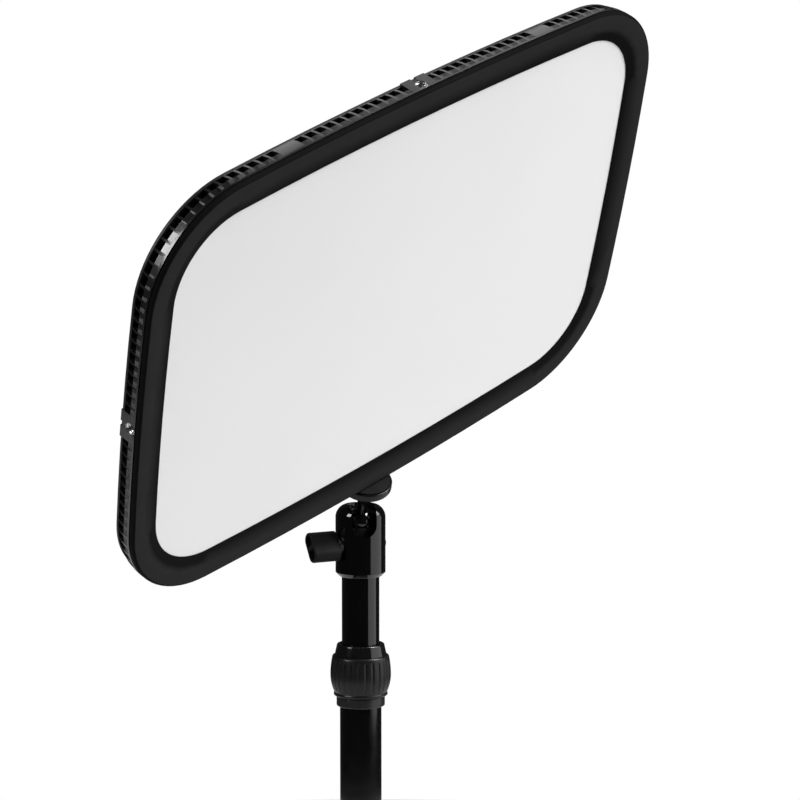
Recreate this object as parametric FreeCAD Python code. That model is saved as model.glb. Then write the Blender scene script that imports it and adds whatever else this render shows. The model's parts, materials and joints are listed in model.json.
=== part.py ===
import FreeCAD, Part

# LED panel light on a telescopic pole.
# A flat edge-lit panel with gently bowed sides stands on a ball head. The ball head caps the
# upper tube of a two-section pole, and a twist collar locks the two tubes together.
# Units are millimetres. The origin is the centre of the pole's foot and +Z runs up the pole.
# The panel faces -Y. Every sub-part is written to its own STEP file in parts/.

import math
import os

from FreeCAD import Placement, Rotation, Vector

# ---------------------------------------------------------------- driving dimensions

# Panel outline, seen from the front, where x is to the right and y is up
PANEL_WIDTH = 350.0
PANEL_HEIGHT = 246.0
LONG_SIDE_BOW = 6.9
SHORT_SIDE_BOW = 4.4
CORNER_RADIUS = 56.0

# Panel layers: heights above the flat front, so they are all negative
BEZEL_EDGE_Z = -2.5
RIM_FRONT_Z = -3.2
RIM_TAPER_START_Z = -4.0
RIM_BACK_Z = -13.0
COVER_BACK_Z = -14.8
HOUSING_BACK_Z = -30.0
LIP_BACK_Z = -2.4
DIFFUSER_THICKNESS = 2.0
FILM_THICKNESS = 0.3
LIGHT_GUIDE_THICKNESS = 3.0
TRAY_THICKNESS = 1.5

# Insets from the panel outline
BEZEL_FLAT_INSET = 8.5
BEZEL_LIP_INSET = 16.4
BEZEL_SLOPE_DROP = 2.0
BEZEL_ROUNDING = 1.5
GROOVE_INSET = 0.9
RIM_TAPER_INSET = 1.9
RIM_WALL_INSET = 5.0
TRAY_INSET = 8.4
TRAY_WALL = 1.2
COVER_ROUNDING = 1.2
STRIP_THICKNESS = 1.0
CHIP_DEPTH = 0.8
LIGHT_GUIDE_INSET = 12.0
DIFFUSER_INSET = 13.0

# Fins and air pockets around the rim
FIN_COUNT = 176
FIN_THICKNESS = 1.3
POCKET_DEPTH = 1.7
POCKET_FRONT_Z = -4.3
VENT_FRONT_Z = -8.6
VENT_BACK_Z = -12.1
VENT_DEPTH = 6.0
RIM_PAD_LENGTH = 16.0
LAND_FROM_MIDDLE = 84.0

# Threads are plain cylinders at their pitch radius
QUARTER_INCH_THREAD_RADIUS = 2.76
QUARTER_INCH_STUD_RADIUS = 2.70
THREE_EIGHTHS_THREAD_RADIUS = 4.25
INSERT_RADIUS = 3.1
INSERT_LENGTH = 7.4
INSERT_Z = -6.5

# Electronics housing on the back, its centre given in the panel's own x and y
HOUSING_WIDTH = 150.0
HOUSING_HEIGHT = 92.0
HOUSING_CENTRE_Y = -46.0
HOUSING_CORNER_RADIUS = 14.0
HOUSING_WALL = 2.0
BOARD_WIDTH = 116.0
BOARD_HEIGHT = 60.0
BOARD_FRONT_Z = -18.5
BOARD_THICKNESS = 1.6
JACK_X = -44.0
JACK_BORE_RADIUS = 2.85
JACK_BORE_LENGTH = 9.0
JACK_Z = -23.9
SWITCH_X = 44.0
SWITCH_WIDTH = 15.0
SWITCH_HEIGHT = 10.0
ROCKER_TILT = 6.0

# Pole
LOWER_TUBE_RADIUS = 11.1
UPPER_TUBE_RADIUS = 10.0
TUBE_WALL = 1.0
LOWER_TUBE_LENGTH = 300.0
UPPER_TUBE_LENGTH = 285.0
FOOT_FLANGE = 2.0
EXPOSED_TUBE = 36.5
SLIDING_CLEARANCE = 0.08

# Twist collar, with its heights measured from the top of the lower tube
COLLAR_TOP = 12.0
COLLAR_BOTTOM = -15.8
COLLAR_TOP_RADIUS = 12.7
COLLAR_CAP_RADIUS = 13.9
COLLAR_CAP_HEIGHT = 6.1
COLLAR_SHOULDER_RADIUS = 15.1
COLLAR_BELLY_RADIUS = 16.1
COLLAR_WAIST_RADIUS = 14.0
COLLAR_LIP_RADIUS = 14.3
BASE_RING_BOTTOM = -21.4
BASE_RING_RADIUS = 12.9

# Ball head, with its heights measured from the centre of the ball
HEAD_RADIUS = 13.3
HEAD_TOP = 9.2
HEAD_BOTTOM = -29.5
HEAD_DOME_RADIUS = 7.2
TUBE_SOCKET_DEPTH = 8.0
BALL_RADIUS = 7.5
BALL_CLEARANCE = 0.08
NECK_RADIUS = 2.9
NECK_FLARE_RADIUS = 5.4
DISC_RADIUS = 13.75
DISC_BOTTOM = 24.0
DISC_THICKNESS = 5.0
PAD_THICKNESS = 0.8
PANEL_EDGE_HEIGHT = 30.0
NOTCH_HALF_WIDTH = 6.5
NOTCH_CENTRE_HEIGHT = -1.0
KNOB_AXIS_HEIGHT = -12.5
KNOB_START = 14.9
KNOB_END = 30.0
KNOB_LENGTH_ACROSS = 16.7
KNOB_WIDTH_ACROSS = 8.6
KNOB_CLOCKING = 32.0
CLAMP_SCREW_RADIUS = 2.5
BUSH_RADIUS = 3.6
GUIDE_SCREW_RADIUS = 1.5
HEAD_SCREW_RADIUS = 2.5

# Brake: the clamp screw's conical nose lifts a plunger under the ball's seat
WEDGE_SLOPE = 30.0
WEDGE_TIP = 1.5
WEDGE_GAP = 0.06
PLUNGER_TOP = -8.5
PLUNGER_BOTTOM = -16.5
PLUNGER_TRAVEL = 0.45

# How the ball head is set: the way the stem leans, how far, and the panel's turn on the stem
LEAN_HEADING = -130.77
LEAN_ANGLE = 33.46
PANEL_SPIN = -5.04
KNOB_HEADING = LEAN_HEADING - 73.0

# ---------------------------------------------------------------- derived positions

DIFFUSER_BACK_Z = LIP_BACK_Z - DIFFUSER_THICKNESS
FILM_BACK_Z = DIFFUSER_BACK_Z - FILM_THICKNESS
LIGHT_GUIDE_BACK_Z = FILM_BACK_Z - LIGHT_GUIDE_THICKNESS
REFLECTOR_BACK_Z = LIGHT_GUIDE_BACK_Z - FILM_THICKNESS
TRAY_BACK_Z = REFLECTOR_BACK_Z - TRAY_THICKNESS
HOUSING_BOTTOM_Y = HOUSING_CENTRE_Y - HOUSING_HEIGHT / 2
BOARD_BACK_Z = BOARD_FRONT_Z - BOARD_THICKNESS
SWITCH_Z = (COVER_BACK_Z + HOUSING_BACK_Z) / 2

LOWER_TUBE_TOP = FOOT_FLANGE + LOWER_TUBE_LENGTH
HEAD_BOTTOM_HEIGHT = LOWER_TUBE_TOP + COLLAR_TOP + EXPOSED_TUBE
BALL_HEIGHT = HEAD_BOTTOM_HEIGHT - HEAD_BOTTOM
UPPER_TUBE_TOP = HEAD_BOTTOM_HEIGHT + TUBE_SOCKET_DEPTH
UPPER_TUBE_BOTTOM = UPPER_TUBE_TOP - UPPER_TUBE_LENGTH

# ---------------------------------------------------------------- placements

Z_AXIS = Vector(0, 0, 1)


def heading(degrees_round):
    """A frame at the ball's centre whose x axis points along a compass heading."""
    return Placement(Vector(0, 0, BALL_HEIGHT), Rotation(Z_AXIS, degrees_round))


def stem_frame():
    """A frame at the ball's centre whose z axis runs up the leaning stem."""
    tilt_axis = Rotation(Z_AXIS, LEAN_HEADING + 90).multVec(Vector(1, 0, 0))
    return Placement(Vector(0, 0, BALL_HEIGHT), Rotation(tilt_axis, LEAN_ANGLE))


def panel_frame():
    """The panel's own frame: x right, y up the panel, z out of its front."""
    spin = Placement(Vector(0, 0, 0), Rotation(Z_AXIS, PANEL_SPIN))
    centre = Vector(0, INSERT_Z, PANEL_EDGE_HEIGHT + PANEL_HEIGHT / 2)
    upright = Placement(centre, Rotation(Vector(1, 0, 0), 90))
    return stem_frame().multiply(spin).multiply(upright)


POLE = Placement()
HEAD = Placement(Vector(0, 0, BALL_HEIGHT), Rotation())
STEM = stem_frame()
PANEL = panel_frame()
KNOB = heading(KNOB_HEADING)


def export(name, shape, frame):
    """Write one sub-part, moved from its own frame into the row's frame."""
    placed = shape.copy()
    placed.Placement = frame.multiply(shape.Placement)
    placed.exportStep("parts/" + name + ".step")


# ---------------------------------------------------------------- general shapes


def cylinder(radius, low, high, x=0.0, y=0.0):
    return Part.makeCylinder(radius, high - low, Vector(x, y, low))


def tube(outer_radius, inner_radius, low, high, x=0.0, y=0.0):
    return cylinder(outer_radius, low, high, x, y).cut(cylinder(inner_radius, low, high, x, y))


def box(x_range, y_range, z_range):
    size = [pair[1] - pair[0] for pair in (x_range, y_range, z_range)]
    return Part.makeBox(size[0], size[1], size[2], Vector(x_range[0], y_range[0], z_range[0]))


def cylinder_along(direction, radius, start, length):
    return Part.makeCylinder(radius, length, start, direction)


def polygon_prism(points, extrusion):
    """A prism from a closed outline of points, pushed along a vector."""
    return Part.Face(Part.makePolygon(points + [points[0]])).extrude(extrusion)


def turned(profile):
    """A solid of revolution about Z from (radius, height) corners."""
    points = [Vector(r, 0, z) for r, z in profile]
    face = Part.Face(Part.makePolygon(points + [points[0]]))
    return face.revolve(Vector(0, 0, 0), Z_AXIS, 360)


def turned_edges(edges):
    """A solid of revolution about Z from a closed chain of edges in the XZ plane."""
    return Part.Face(Part.Wire(edges)).revolve(Vector(0, 0, 0), Z_AXIS, 360)


def line(start, end):
    return Part.LineSegment(Vector(start[0], 0, start[1]), Vector(end[0], 0, end[1])).toShape()


def arc(start, middle, end):
    points = [Vector(p[0], 0, p[1]) for p in (start, middle, end)]
    return Part.Arc(points[0], points[1], points[2]).toShape()


def rounded_rectangle(width, height, radius, low, high, centre_y=0.0):
    """An upright block with rounded corners."""
    block = box((-width / 2, width / 2), (centre_y - height / 2, centre_y + height / 2), (low, high))
    upright = [e for e in block.Edges if abs(e.tangentAt(e.FirstParameter).z) > 0.99]
    return block.makeFillet(radius, upright)


def joined(shapes):
    """One shape holding separate solids."""
    return Part.makeCompound(shapes)


# ---------------------------------------------------------------- panel outline


def outline_arcs():
    """The eight arcs of the outline, each as centre x, centre y, radius, start and end angle."""
    half_width = PANEL_WIDTH / 2
    half_height = PANEL_HEIGHT / 2
    long_radius = (half_width**2 + LONG_SIDE_BOW**2) / (2 * LONG_SIDE_BOW)
    short_radius = (half_height**2 + SHORT_SIDE_BOW**2) / (2 * SHORT_SIDE_BOW)
    long_centre = (0.0, half_height - long_radius)
    short_centre = (half_width - short_radius, 0.0)
    # The corner circle touches both side arcs from inside
    reach_long = long_radius - CORNER_RADIUS
    reach_short = short_radius - CORNER_RADIUS
    gap_x = short_centre[0] - long_centre[0]
    gap_y = short_centre[1] - long_centre[1]
    gap = math.hypot(gap_x, gap_y)
    along = (reach_long**2 - reach_short**2 + gap**2) / (2 * gap)
    across = math.sqrt(reach_long**2 - along**2)
    corner_x = long_centre[0] + (gap_x * along + gap_y * across) / gap
    corner_y = long_centre[1] + (gap_y * along - gap_x * across) / gap
    short_end = math.atan2(corner_y, corner_x - short_centre[0])
    long_start = math.atan2(corner_y - long_centre[1], corner_x)
    quarter = math.pi / 2
    half = math.pi
    return [
        (short_centre[0], 0.0, short_radius, -short_end, short_end),
        (corner_x, corner_y, CORNER_RADIUS, short_end, long_start),
        (0.0, long_centre[1], long_radius, long_start, half - long_start),
        (-corner_x, corner_y, CORNER_RADIUS, half - long_start, half - short_end),
        (-short_centre[0], 0.0, short_radius, half - short_end, half + short_end),
        (-corner_x, -corner_y, CORNER_RADIUS, half + short_end, half + long_start),
        (0.0, -long_centre[1], long_radius, half + long_start, 4 * quarter - long_start),
        (corner_x, -corner_y, CORNER_RADIUS, -long_start, -short_end),
    ]


OUTLINE = outline_arcs()


def outline_wire(inset, z):
    """The closed outline, moved inwards by an inset, at a height z."""
    edges = []
    for centre_x, centre_y, radius, start, end in OUTLINE:
        points = []
        for angle in (start, (start + end) / 2, end):
            x = centre_x + (radius - inset) * math.cos(angle)
            y = centre_y + (radius - inset) * math.sin(angle)
            points.append(Vector(x, y, z))
        edges.append(Part.Arc(points[0], points[1], points[2]).toShape())
    return Part.Wire(edges)


def outline_solid(sections):
    """A solid between outlines given as (inset, z), lowest first."""
    return Part.makeLoft([outline_wire(inset, z) for inset, z in sections], True, True)


def outline_plate(inset, low, high):
    return Part.Face(outline_wire(inset, low)).extrude(Vector(0, 0, high - low))


def rounding_sections(radius, inset, sharp_z, flat_z):
    """Outline sections that round an edge, from the side wall at sharp_z to the flat at flat_z."""
    steps = 6
    sections = []
    for step in range(steps + 1):
        angle = math.pi / 2 * step / steps
        inward = radius * (1 - math.cos(angle))
        along = (flat_z - sharp_z) * math.sin(angle)
        sections.append((inset + inward, sharp_z + along))
    return sections


def outline_ring(outer_inset, inner_inset, low, high):
    return outline_plate(outer_inset, low, high).cut(outline_plate(inner_inset, low - 1, high + 1))


def swept_ring(section):
    """A ring with the same cross-section all round. The section gives its edges for an arc's radius."""
    sectors = []
    for centre_x, centre_y, radius, start, end in OUTLINE:
        face = Part.Face(Part.Wire(section(radius)))
        sector = face.revolve(Vector(0, 0, 0), Z_AXIS, math.degrees(end - start))
        sector.Placement = Placement(
            Vector(centre_x, centre_y, 0), Rotation(Z_AXIS, math.degrees(start))
        )
        sectors.append(sector)
    return sectors[0].fuse(sectors[1:])


def outline_lengths():
    return [radius * (end - start) for _, _, radius, start, end in OUTLINE]


def outline_place(distance, inset=0.0):
    """The point and the outward angle at a distance round the outline from its right middle."""
    lengths = outline_lengths()
    left = (distance + lengths[0] / 2) % sum(lengths)
    index = 0
    while left > lengths[index]:
        left -= lengths[index]
        index += 1
    centre_x, centre_y, radius, start, _ = OUTLINE[index]
    angle = start + left / radius
    x = centre_x + (radius - inset) * math.cos(angle)
    y = centre_y + (radius - inset) * math.sin(angle)
    return x, y, math.degrees(angle)


def rim_frame(distance):
    """A frame on the outline: x points outwards from the rim and y runs along it."""
    x, y, angle = outline_place(distance)
    return Placement(Vector(x, y, 0), Rotation(Z_AXIS, angle))


def on_rim(shape, distance):
    """A copy of a shape moved to a distance round the outline."""
    moved = shape.copy()
    moved.Placement = rim_frame(distance).multiply(shape.Placement)
    return moved


PERIMETER = sum(outline_lengths())
SIDE_MIDDLES = [PERIMETER * quarter / 4 for quarter in range(4)]
RIGHT_MIDDLE, TOP_MIDDLE, LEFT_MIDDLE, BOTTOM_MIDDLE = SIDE_MIDDLES

# ---------------------------------------------------------------- panel: front and optics

POST_COUNT = 12
POST_INSET = 6.7
POST_RADIUS = 1.5
SKIRT_BACK_Z = -4.2


def post_distances():
    return [PERIMETER * (index + 0.5) / POST_COUNT for index in range(POST_COUNT)]


def front_bezel():
    """The front frame: a flat band that slopes down to the lip over the diffuser."""
    rounding = rounding_sections(BEZEL_ROUNDING, 0.0, -BEZEL_ROUNDING, 0.0)
    plate = outline_solid([(0.0, BEZEL_EDGE_Z)] + rounding)
    slope = (BEZEL_LIP_INSET - BEZEL_FLAT_INSET) / BEZEL_SLOPE_DROP
    above = 0.5
    window = outline_plate(BEZEL_LIP_INSET, RIM_FRONT_Z - 1, above)
    lip = (BEZEL_LIP_INSET, -BEZEL_SLOPE_DROP)
    sloped = outline_solid([lip, (BEZEL_FLAT_INSET - slope * above, above)])
    seat_inset = DIFFUSER_INSET - 0.1
    seat = outline_plate(seat_inset, RIM_FRONT_Z - 1, LIP_BACK_Z)
    frame = plate.cut(window).cut(sloped).cut(seat)
    step = outline_ring(GROOVE_INSET, seat_inset, RIM_FRONT_Z, BEZEL_EDGE_Z)
    skirt = outline_ring(RIM_WALL_INSET + 0.1, RIM_WALL_INSET + 1.6, SKIRT_BACK_Z, RIM_FRONT_Z)
    half_gap = RIM_PAD_LENGTH / 2 + 0.5
    pad_gap = box((-20.0, 5.0), (-half_gap, half_gap), (-20.0, 5.0))
    skirt = skirt.cut([on_rim(pad_gap, distance) for distance in SIDE_MIDDLES])
    post = cylinder(POST_RADIUS, RIM_BACK_Z + 0.1, RIM_FRONT_Z, -POST_INSET)
    hole = cylinder(1.05, RIM_BACK_Z - 1, RIM_FRONT_Z - 4, -POST_INSET)
    posts = [on_rim(post, distance) for distance in post_distances()]
    frame = frame.fuse([step, skirt] + posts)
    return frame.cut([on_rim(hole, distance) for distance in post_distances()])


def diffuser_plate():
    return outline_plate(DIFFUSER_INSET, DIFFUSER_BACK_Z, LIP_BACK_Z)


def diffusion_film():
    return outline_plate(DIFFUSER_INSET, FILM_BACK_Z, DIFFUSER_BACK_Z)


def light_guide_plate():
    return outline_plate(LIGHT_GUIDE_INSET, LIGHT_GUIDE_BACK_Z, FILM_BACK_Z)


def reflector_sheet():
    return outline_plate(LIGHT_GUIDE_INSET, REFLECTOR_BACK_Z, LIGHT_GUIDE_BACK_Z)


# The tray's screws stand in two rows across the back of the panel
TRAY_SCREW_PLACES = [(x, 62.0) for x in (-120.0, -42.0, 42.0, 120.0)]
TRAY_SCREW_PLACES += [(x, -66.0) for x in (-120.0, 120.0)]


def heat_tray():
    """The aluminium tray that holds the optics and takes the heat from the light strips."""
    floor = outline_plate(TRAY_INSET, TRAY_BACK_Z, REFLECTOR_BACK_Z)
    wall = outline_ring(TRAY_INSET, TRAY_INSET + TRAY_WALL, REFLECTOR_BACK_Z, RIM_FRONT_Z)
    studs = [cylinder(3.2, RIM_BACK_Z, TRAY_BACK_Z, x, y) for x, y in TRAY_SCREW_PLACES]
    holes = [cylinder(1.52, RIM_BACK_Z - 1, TRAY_BACK_Z - 0.2, x, y) for x, y in TRAY_SCREW_PLACES]
    return floor.fuse([wall] + studs).cut(holes)


def light_strip(distance, half_length):
    """One circuit strip that stands on the tray's floor along a side."""
    inner = TRAY_INSET + TRAY_WALL
    ring = outline_ring(inner, inner + STRIP_THICKNESS, REFLECTOR_BACK_Z, FILM_BACK_Z + 0.2)
    keep = box((-20.0, 5.0), (-half_length, half_length), (-20.0, 5.0))
    return ring.common(on_rim(keep, distance))


LONG_STRIP_HALF = 116.0
SHORT_STRIP_HALF = 64.0
CHIP_PITCH = 6.4
CHIP_SIZE = 2.8


def chip_distances():
    """Where the light chips sit along the four strips, counted round the outline."""
    places = []
    for middle in SIDE_MIDDLES:
        half = LONG_STRIP_HALF if middle in (TOP_MIDDLE, BOTTOM_MIDDLE) else SHORT_STRIP_HALF
        count = int(2 * (half - CHIP_SIZE) / CHIP_PITCH)
        start = middle - CHIP_PITCH * (count - 1) / 2
        places += [start + CHIP_PITCH * index for index in range(count)]
    return places


def light_chips(first):
    """Every second chip, so that the warm and the cool chips take turns along a strip."""
    face = -(TRAY_INSET + TRAY_WALL + STRIP_THICKNESS)
    middle_z = (REFLECTOR_BACK_Z + FILM_BACK_Z) / 2
    chip = box((face - CHIP_DEPTH, face), (-CHIP_SIZE / 2, CHIP_SIZE / 2), (middle_z - 1, middle_z + 1))
    return joined([on_rim(chip, distance) for distance in chip_distances()[first::2]])


# ---------------------------------------------------------------- panel: rim and back


def side_insert_cut():
    """The bore for a threaded insert, in a rim frame."""
    start = Vector(1.0, 0, INSERT_Z)
    return cylinder_along(Vector(-1, 0, 0), INSERT_RADIUS, start, TRAY_INSET + 1.0)


def rim_pocket(low, high):
    """One air pocket between two fins: shallow at the front and open to the inside behind."""
    outline = [
        Vector(1.0, low, POCKET_FRONT_Z),
        Vector(-POCKET_DEPTH, low, POCKET_FRONT_Z),
        Vector(-POCKET_DEPTH, low, VENT_FRONT_Z),
        Vector(-VENT_DEPTH, low, VENT_FRONT_Z),
        Vector(-VENT_DEPTH, low, VENT_BACK_Z),
        Vector(1.0, low, VENT_BACK_Z),
    ]
    return polygon_prism(outline, Vector(0, high - low, 0))


def rim_pockets():
    """All pockets round the rim, each clipped just inside the end of a mounting pad.

    The two long sides each have two plain lands, where pockets are left out.
    """
    pitch = PERIMETER / FIN_COUNT
    half_gap = (pitch - FIN_THICKNESS) / 2
    half_pad = RIM_PAD_LENGTH / 2 - 0.6
    side = PERIMETER / 4
    pockets = []
    for index in range(FIN_COUNT):
        distance = pitch * (index + 0.5)
        from_middle = (distance + side / 2) % side - side / 2
        on_long_side = round(distance / side) % 2 == 1
        if on_long_side and abs(abs(from_middle) - LAND_FROM_MIDDLE) < pitch:
            continue
        low = -half_gap
        high = half_gap
        if from_middle > 0:
            low = max(low, half_pad - from_middle)
        else:
            high = min(high, -half_pad - from_middle)
        if high - low > FIN_THICKNESS:
            pockets.append(on_rim(rim_pocket(low, high), distance))
    return pockets


def rim_pad(distance):
    """A flat mounting pad in the middle of a side, thick enough for a threaded insert."""
    half = RIM_PAD_LENGTH / 2
    block = outline_ring(0.0, TRAY_INSET - 0.2, RIM_BACK_Z, RIM_FRONT_Z)
    keep = box((-20.0, 5.0), (-half, half), (-20.0, 5.0))
    return block.common(on_rim(keep, distance))


def rim_section(radius):
    """The rim's cross-section: a straight front edge, then a side that curves in to the back."""
    depth = RIM_TAPER_START_Z - RIM_BACK_Z
    bend = (depth**2 + RIM_TAPER_INSET**2) / (2 * RIM_TAPER_INSET)
    half_down = depth / 2
    half_inset = bend - math.sqrt(bend**2 - half_down**2)
    front = (radius, RIM_FRONT_Z)
    bend_start = (radius, RIM_TAPER_START_Z)
    bend_middle = (radius - half_inset, RIM_TAPER_START_Z - half_down)
    back = (radius - RIM_TAPER_INSET, RIM_BACK_Z)
    inner_back = (radius - RIM_WALL_INSET, RIM_BACK_Z)
    inner_front = (radius - RIM_WALL_INSET, RIM_FRONT_Z)
    return [
        line(inner_front, front),
        line(front, bend_start),
        arc(bend_start, bend_middle, back),
        line(back, inner_back),
        line(inner_back, inner_front),
    ]


def housing_rim():
    """The side frame, with cooling fins all round and a mounting pad on each side."""
    key_slot = box((-1.5, 1.0), (-1.4, 1.4), (RIM_BACK_Z - 1, INSERT_Z))
    pads = [rim_pad(distance) for distance in SIDE_MIDDLES]
    cuts = [on_rim(side_insert_cut(), distance) for distance in SIDE_MIDDLES]
    cuts += [on_rim(key_slot, distance) for distance in SIDE_MIDDLES]
    return swept_ring(rim_section).cut(rim_pockets()).fuse(pads).cut(cuts)


def threaded_insert(distance):
    """A metal bush with the quarter-inch thread, flush inside a mounting pad."""
    start = Vector(-0.2, 0, INSERT_Z)
    outside = cylinder_along(Vector(-1, 0, 0), INSERT_RADIUS - 0.02, start, INSERT_LENGTH)
    thread = cylinder_along(Vector(-1, 0, 0), QUARTER_INCH_THREAD_RADIUS, start, INSERT_LENGTH)
    return on_rim(outside.cut(thread), distance)


COVER_HEAD_RADIUS = 2.2
COVER_HEAD_HEIGHT = 1.2


def cover_screw_cut():
    hole = cylinder(1.15, COVER_BACK_Z - 1, RIM_BACK_Z + 1, -POST_INSET)
    low = Vector(-POST_INSET, 0, COVER_BACK_Z)
    head = Part.makeCone(COVER_HEAD_RADIUS + 0.05, 1.1, COVER_HEAD_HEIGHT, low)
    return hole.fuse(head)


def cover_screws():
    """Countersunk screws that hold the rear cover to the bezel's posts."""
    low = Vector(-POST_INSET, 0, COVER_BACK_Z + 0.05)
    head = Part.makeCone(COVER_HEAD_RADIUS, 1.05, COVER_HEAD_HEIGHT, low)
    shank = cylinder(1.0, COVER_BACK_Z + 1, RIM_FRONT_Z - 4.5, -POST_INSET)
    screw = head.fuse(shank)
    return joined([on_rim(screw, distance) for distance in post_distances()])


HOUSING_SCREW_PLACES = [
    (x, HOUSING_CENTRE_Y + y) for x in (-64.0, 64.0) for y in (-35.0, 35.0)
]
BOARD_CENTRE_Y = HOUSING_CENTRE_Y - 6.0
BOARD_SCREW_PLACES = [
    (x, BOARD_CENTRE_Y + y) for x in (-53.0, 53.0) for y in (-20.0, 24.0)
]
CABLE_WINDOW_Y = -46.0


def rear_cover():
    """The back plate, with standoffs for the driver board."""
    rounding_start = COVER_BACK_Z + COVER_ROUNDING
    rounding = rounding_sections(COVER_ROUNDING, RIM_TAPER_INSET, rounding_start, COVER_BACK_Z)
    plate = outline_solid(rounding[::-1] + [(RIM_TAPER_INSET, RIM_BACK_Z)])
    standoffs = [cylinder(3.0, BOARD_FRONT_Z, COVER_BACK_Z, x, y) for x, y in BOARD_SCREW_PLACES]
    cuts = [on_rim(cover_screw_cut(), distance) for distance in post_distances()]
    cuts += [cylinder(1.6, -16, RIM_BACK_Z + 1, x, y) for x, y in TRAY_SCREW_PLACES]
    cuts += [cylinder(1.55, -16, RIM_BACK_Z + 1, x, y) for x, y in HOUSING_SCREW_PLACES]
    cuts += [cylinder(1.22, -20, -15.4, x, y) for x, y in BOARD_SCREW_PLACES]
    cuts.append(box((-12, 12), (CABLE_WINDOW_Y - 9, CABLE_WINDOW_Y + 9), (-16, -12)))
    return plate.fuse(standoffs).cut(cuts)


def pan_screw(x, y, seat_z, head_radius, head_height, shank_radius, tip_z):
    """A pan-head screw driven from the back: its head sits on seat_z and its tip is in front."""
    head = cylinder(head_radius, seat_z - head_height, seat_z, x, y)
    back_edge = [e for e in head.Edges if abs(e.BoundBox.ZMax - (seat_z - head_height)) < 1e-6]
    head = head.makeFillet(head_height * 0.4, back_edge)
    recess = cylinder(head_radius * 0.45, seat_z - head_height, seat_z - head_height * 0.4, x, y)
    return head.fuse(cylinder(shank_radius, seat_z, tip_z, x, y)).cut(recess)


def tray_screws():
    return joined(
        [pan_screw(x, y, COVER_BACK_Z, 3.0, 1.6, 1.5, -10.2) for x, y in TRAY_SCREW_PLACES]
    )


# ---------------------------------------------------------------- panel: electronics


def electronics_housing():
    """The shell over the driver board, with cooling slots, an inlet and a switch opening."""
    low = HOUSING_BACK_Z
    shell = rounded_rectangle(
        HOUSING_WIDTH, HOUSING_HEIGHT, HOUSING_CORNER_RADIUS, low, COVER_BACK_Z, HOUSING_CENTRE_Y
    )
    back_edges = [e for e in shell.Edges if all(abs(v.Z - low) < 1e-6 for v in e.Vertexes)]
    shell = shell.makeFillet(2.4, back_edges)
    cavity = rounded_rectangle(
        HOUSING_WIDTH - 2 * HOUSING_WALL,
        HOUSING_HEIGHT - 2 * HOUSING_WALL,
        HOUSING_CORNER_RADIUS - HOUSING_WALL,
        low + HOUSING_WALL,
        COVER_BACK_Z + 1,
        HOUSING_CENTRE_Y,
    )
    posts = [cylinder(4.5, low + 1, COVER_BACK_Z, x, y) for x, y in HOUSING_SCREW_PLACES]
    shell = shell.cut(cavity).fuse(posts)
    cuts = [cylinder(1.6, low - 1, COVER_BACK_Z + 1, x, y) for x, y in HOUSING_SCREW_PLACES]
    cuts += [cylinder(3.1, low - 1, low + 2.4, x, y) for x, y in HOUSING_SCREW_PLACES]
    slot_pitch = 7.0
    for index in range(13):
        x = slot_pitch * (index - 6)
        slot = rounded_rectangle(2.6, 38.0, 1.25, low - 1, low + HOUSING_WALL + 1, HOUSING_CENTRE_Y)
        slot.translate(Vector(x, 0, 0))
        cuts.append(slot)
    cuts.append(jack_cylinder(4.3, HOUSING_BOTTOM_Y - 1, HOUSING_BOTTOM_Y + HOUSING_WALL + 1))
    half_width = SWITCH_WIDTH / 2 - 0.9
    half_height = SWITCH_HEIGHT / 2 - 0.9
    cuts.append(
        box(
            (SWITCH_X - half_width, SWITCH_X + half_width),
            (HOUSING_BOTTOM_Y - 1, HOUSING_BOTTOM_Y + HOUSING_WALL + 1),
            (SWITCH_Z - half_height, SWITCH_Z + half_height),
        )
    )
    return shell.cut(cuts)


def jack_cylinder(radius, low_y, high_y):
    return cylinder_along(Vector(0, 1, 0), radius, Vector(JACK_X, low_y, JACK_Z), high_y - low_y)


def housing_screws():
    seat = HOUSING_BACK_Z + 2.4
    return joined(
        [pan_screw(x, y, seat, 2.9, 1.9, 1.5, -13.2) for x, y in HOUSING_SCREW_PLACES]
    )


def driver_board():
    board = rounded_rectangle(
        BOARD_WIDTH, BOARD_HEIGHT, 3.0, BOARD_BACK_Z, BOARD_FRONT_Z, BOARD_CENTRE_Y
    )
    return board.cut([cylinder(1.3, -22, -17, x, y) for x, y in BOARD_SCREW_PLACES])


def board_screws():
    return joined(
        [pan_screw(x, y, BOARD_BACK_Z, 2.4, 1.4, 1.2, -15.6) for x, y in BOARD_SCREW_PLACES]
    )


def board_chokes():
    """Three ring-shaped chokes lying on the board."""
    rings = []
    for x in (-26.0, -8.0, 10.0):
        middle = Vector(x, BOARD_CENTRE_Y + 12, BOARD_BACK_Z - 2.5)
        rings.append(Part.makeTorus(5.0, 2.5, middle, Z_AXIS))
    return joined(rings)


def board_capacitors():
    cans = []
    for x, y in ((-38.0, -12.0), (-27.0, -12.0), (34.0, 14.0)):
        can = cylinder(4.0, BOARD_BACK_Z - 7.4, BOARD_BACK_Z, x, BOARD_CENTRE_Y + y)
        top = [e for e in can.Edges if abs(e.BoundBox.ZMax - (BOARD_BACK_Z - 7.4)) < 1e-6]
        cans.append(can.makeFillet(0.6, top))
    return joined(cans)


def board_chips():
    """The driver and controller chips, flat on the board."""
    chips = []
    for index in range(4):
        x = -14.0 + 10.0 * index
        y = BOARD_CENTRE_Y - 12.0
        chips.append(box((x - 3, x + 3), (y - 2.5, y + 2.5), (BOARD_BACK_Z - 1.6, BOARD_BACK_Z)))
    return joined(chips)


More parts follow.
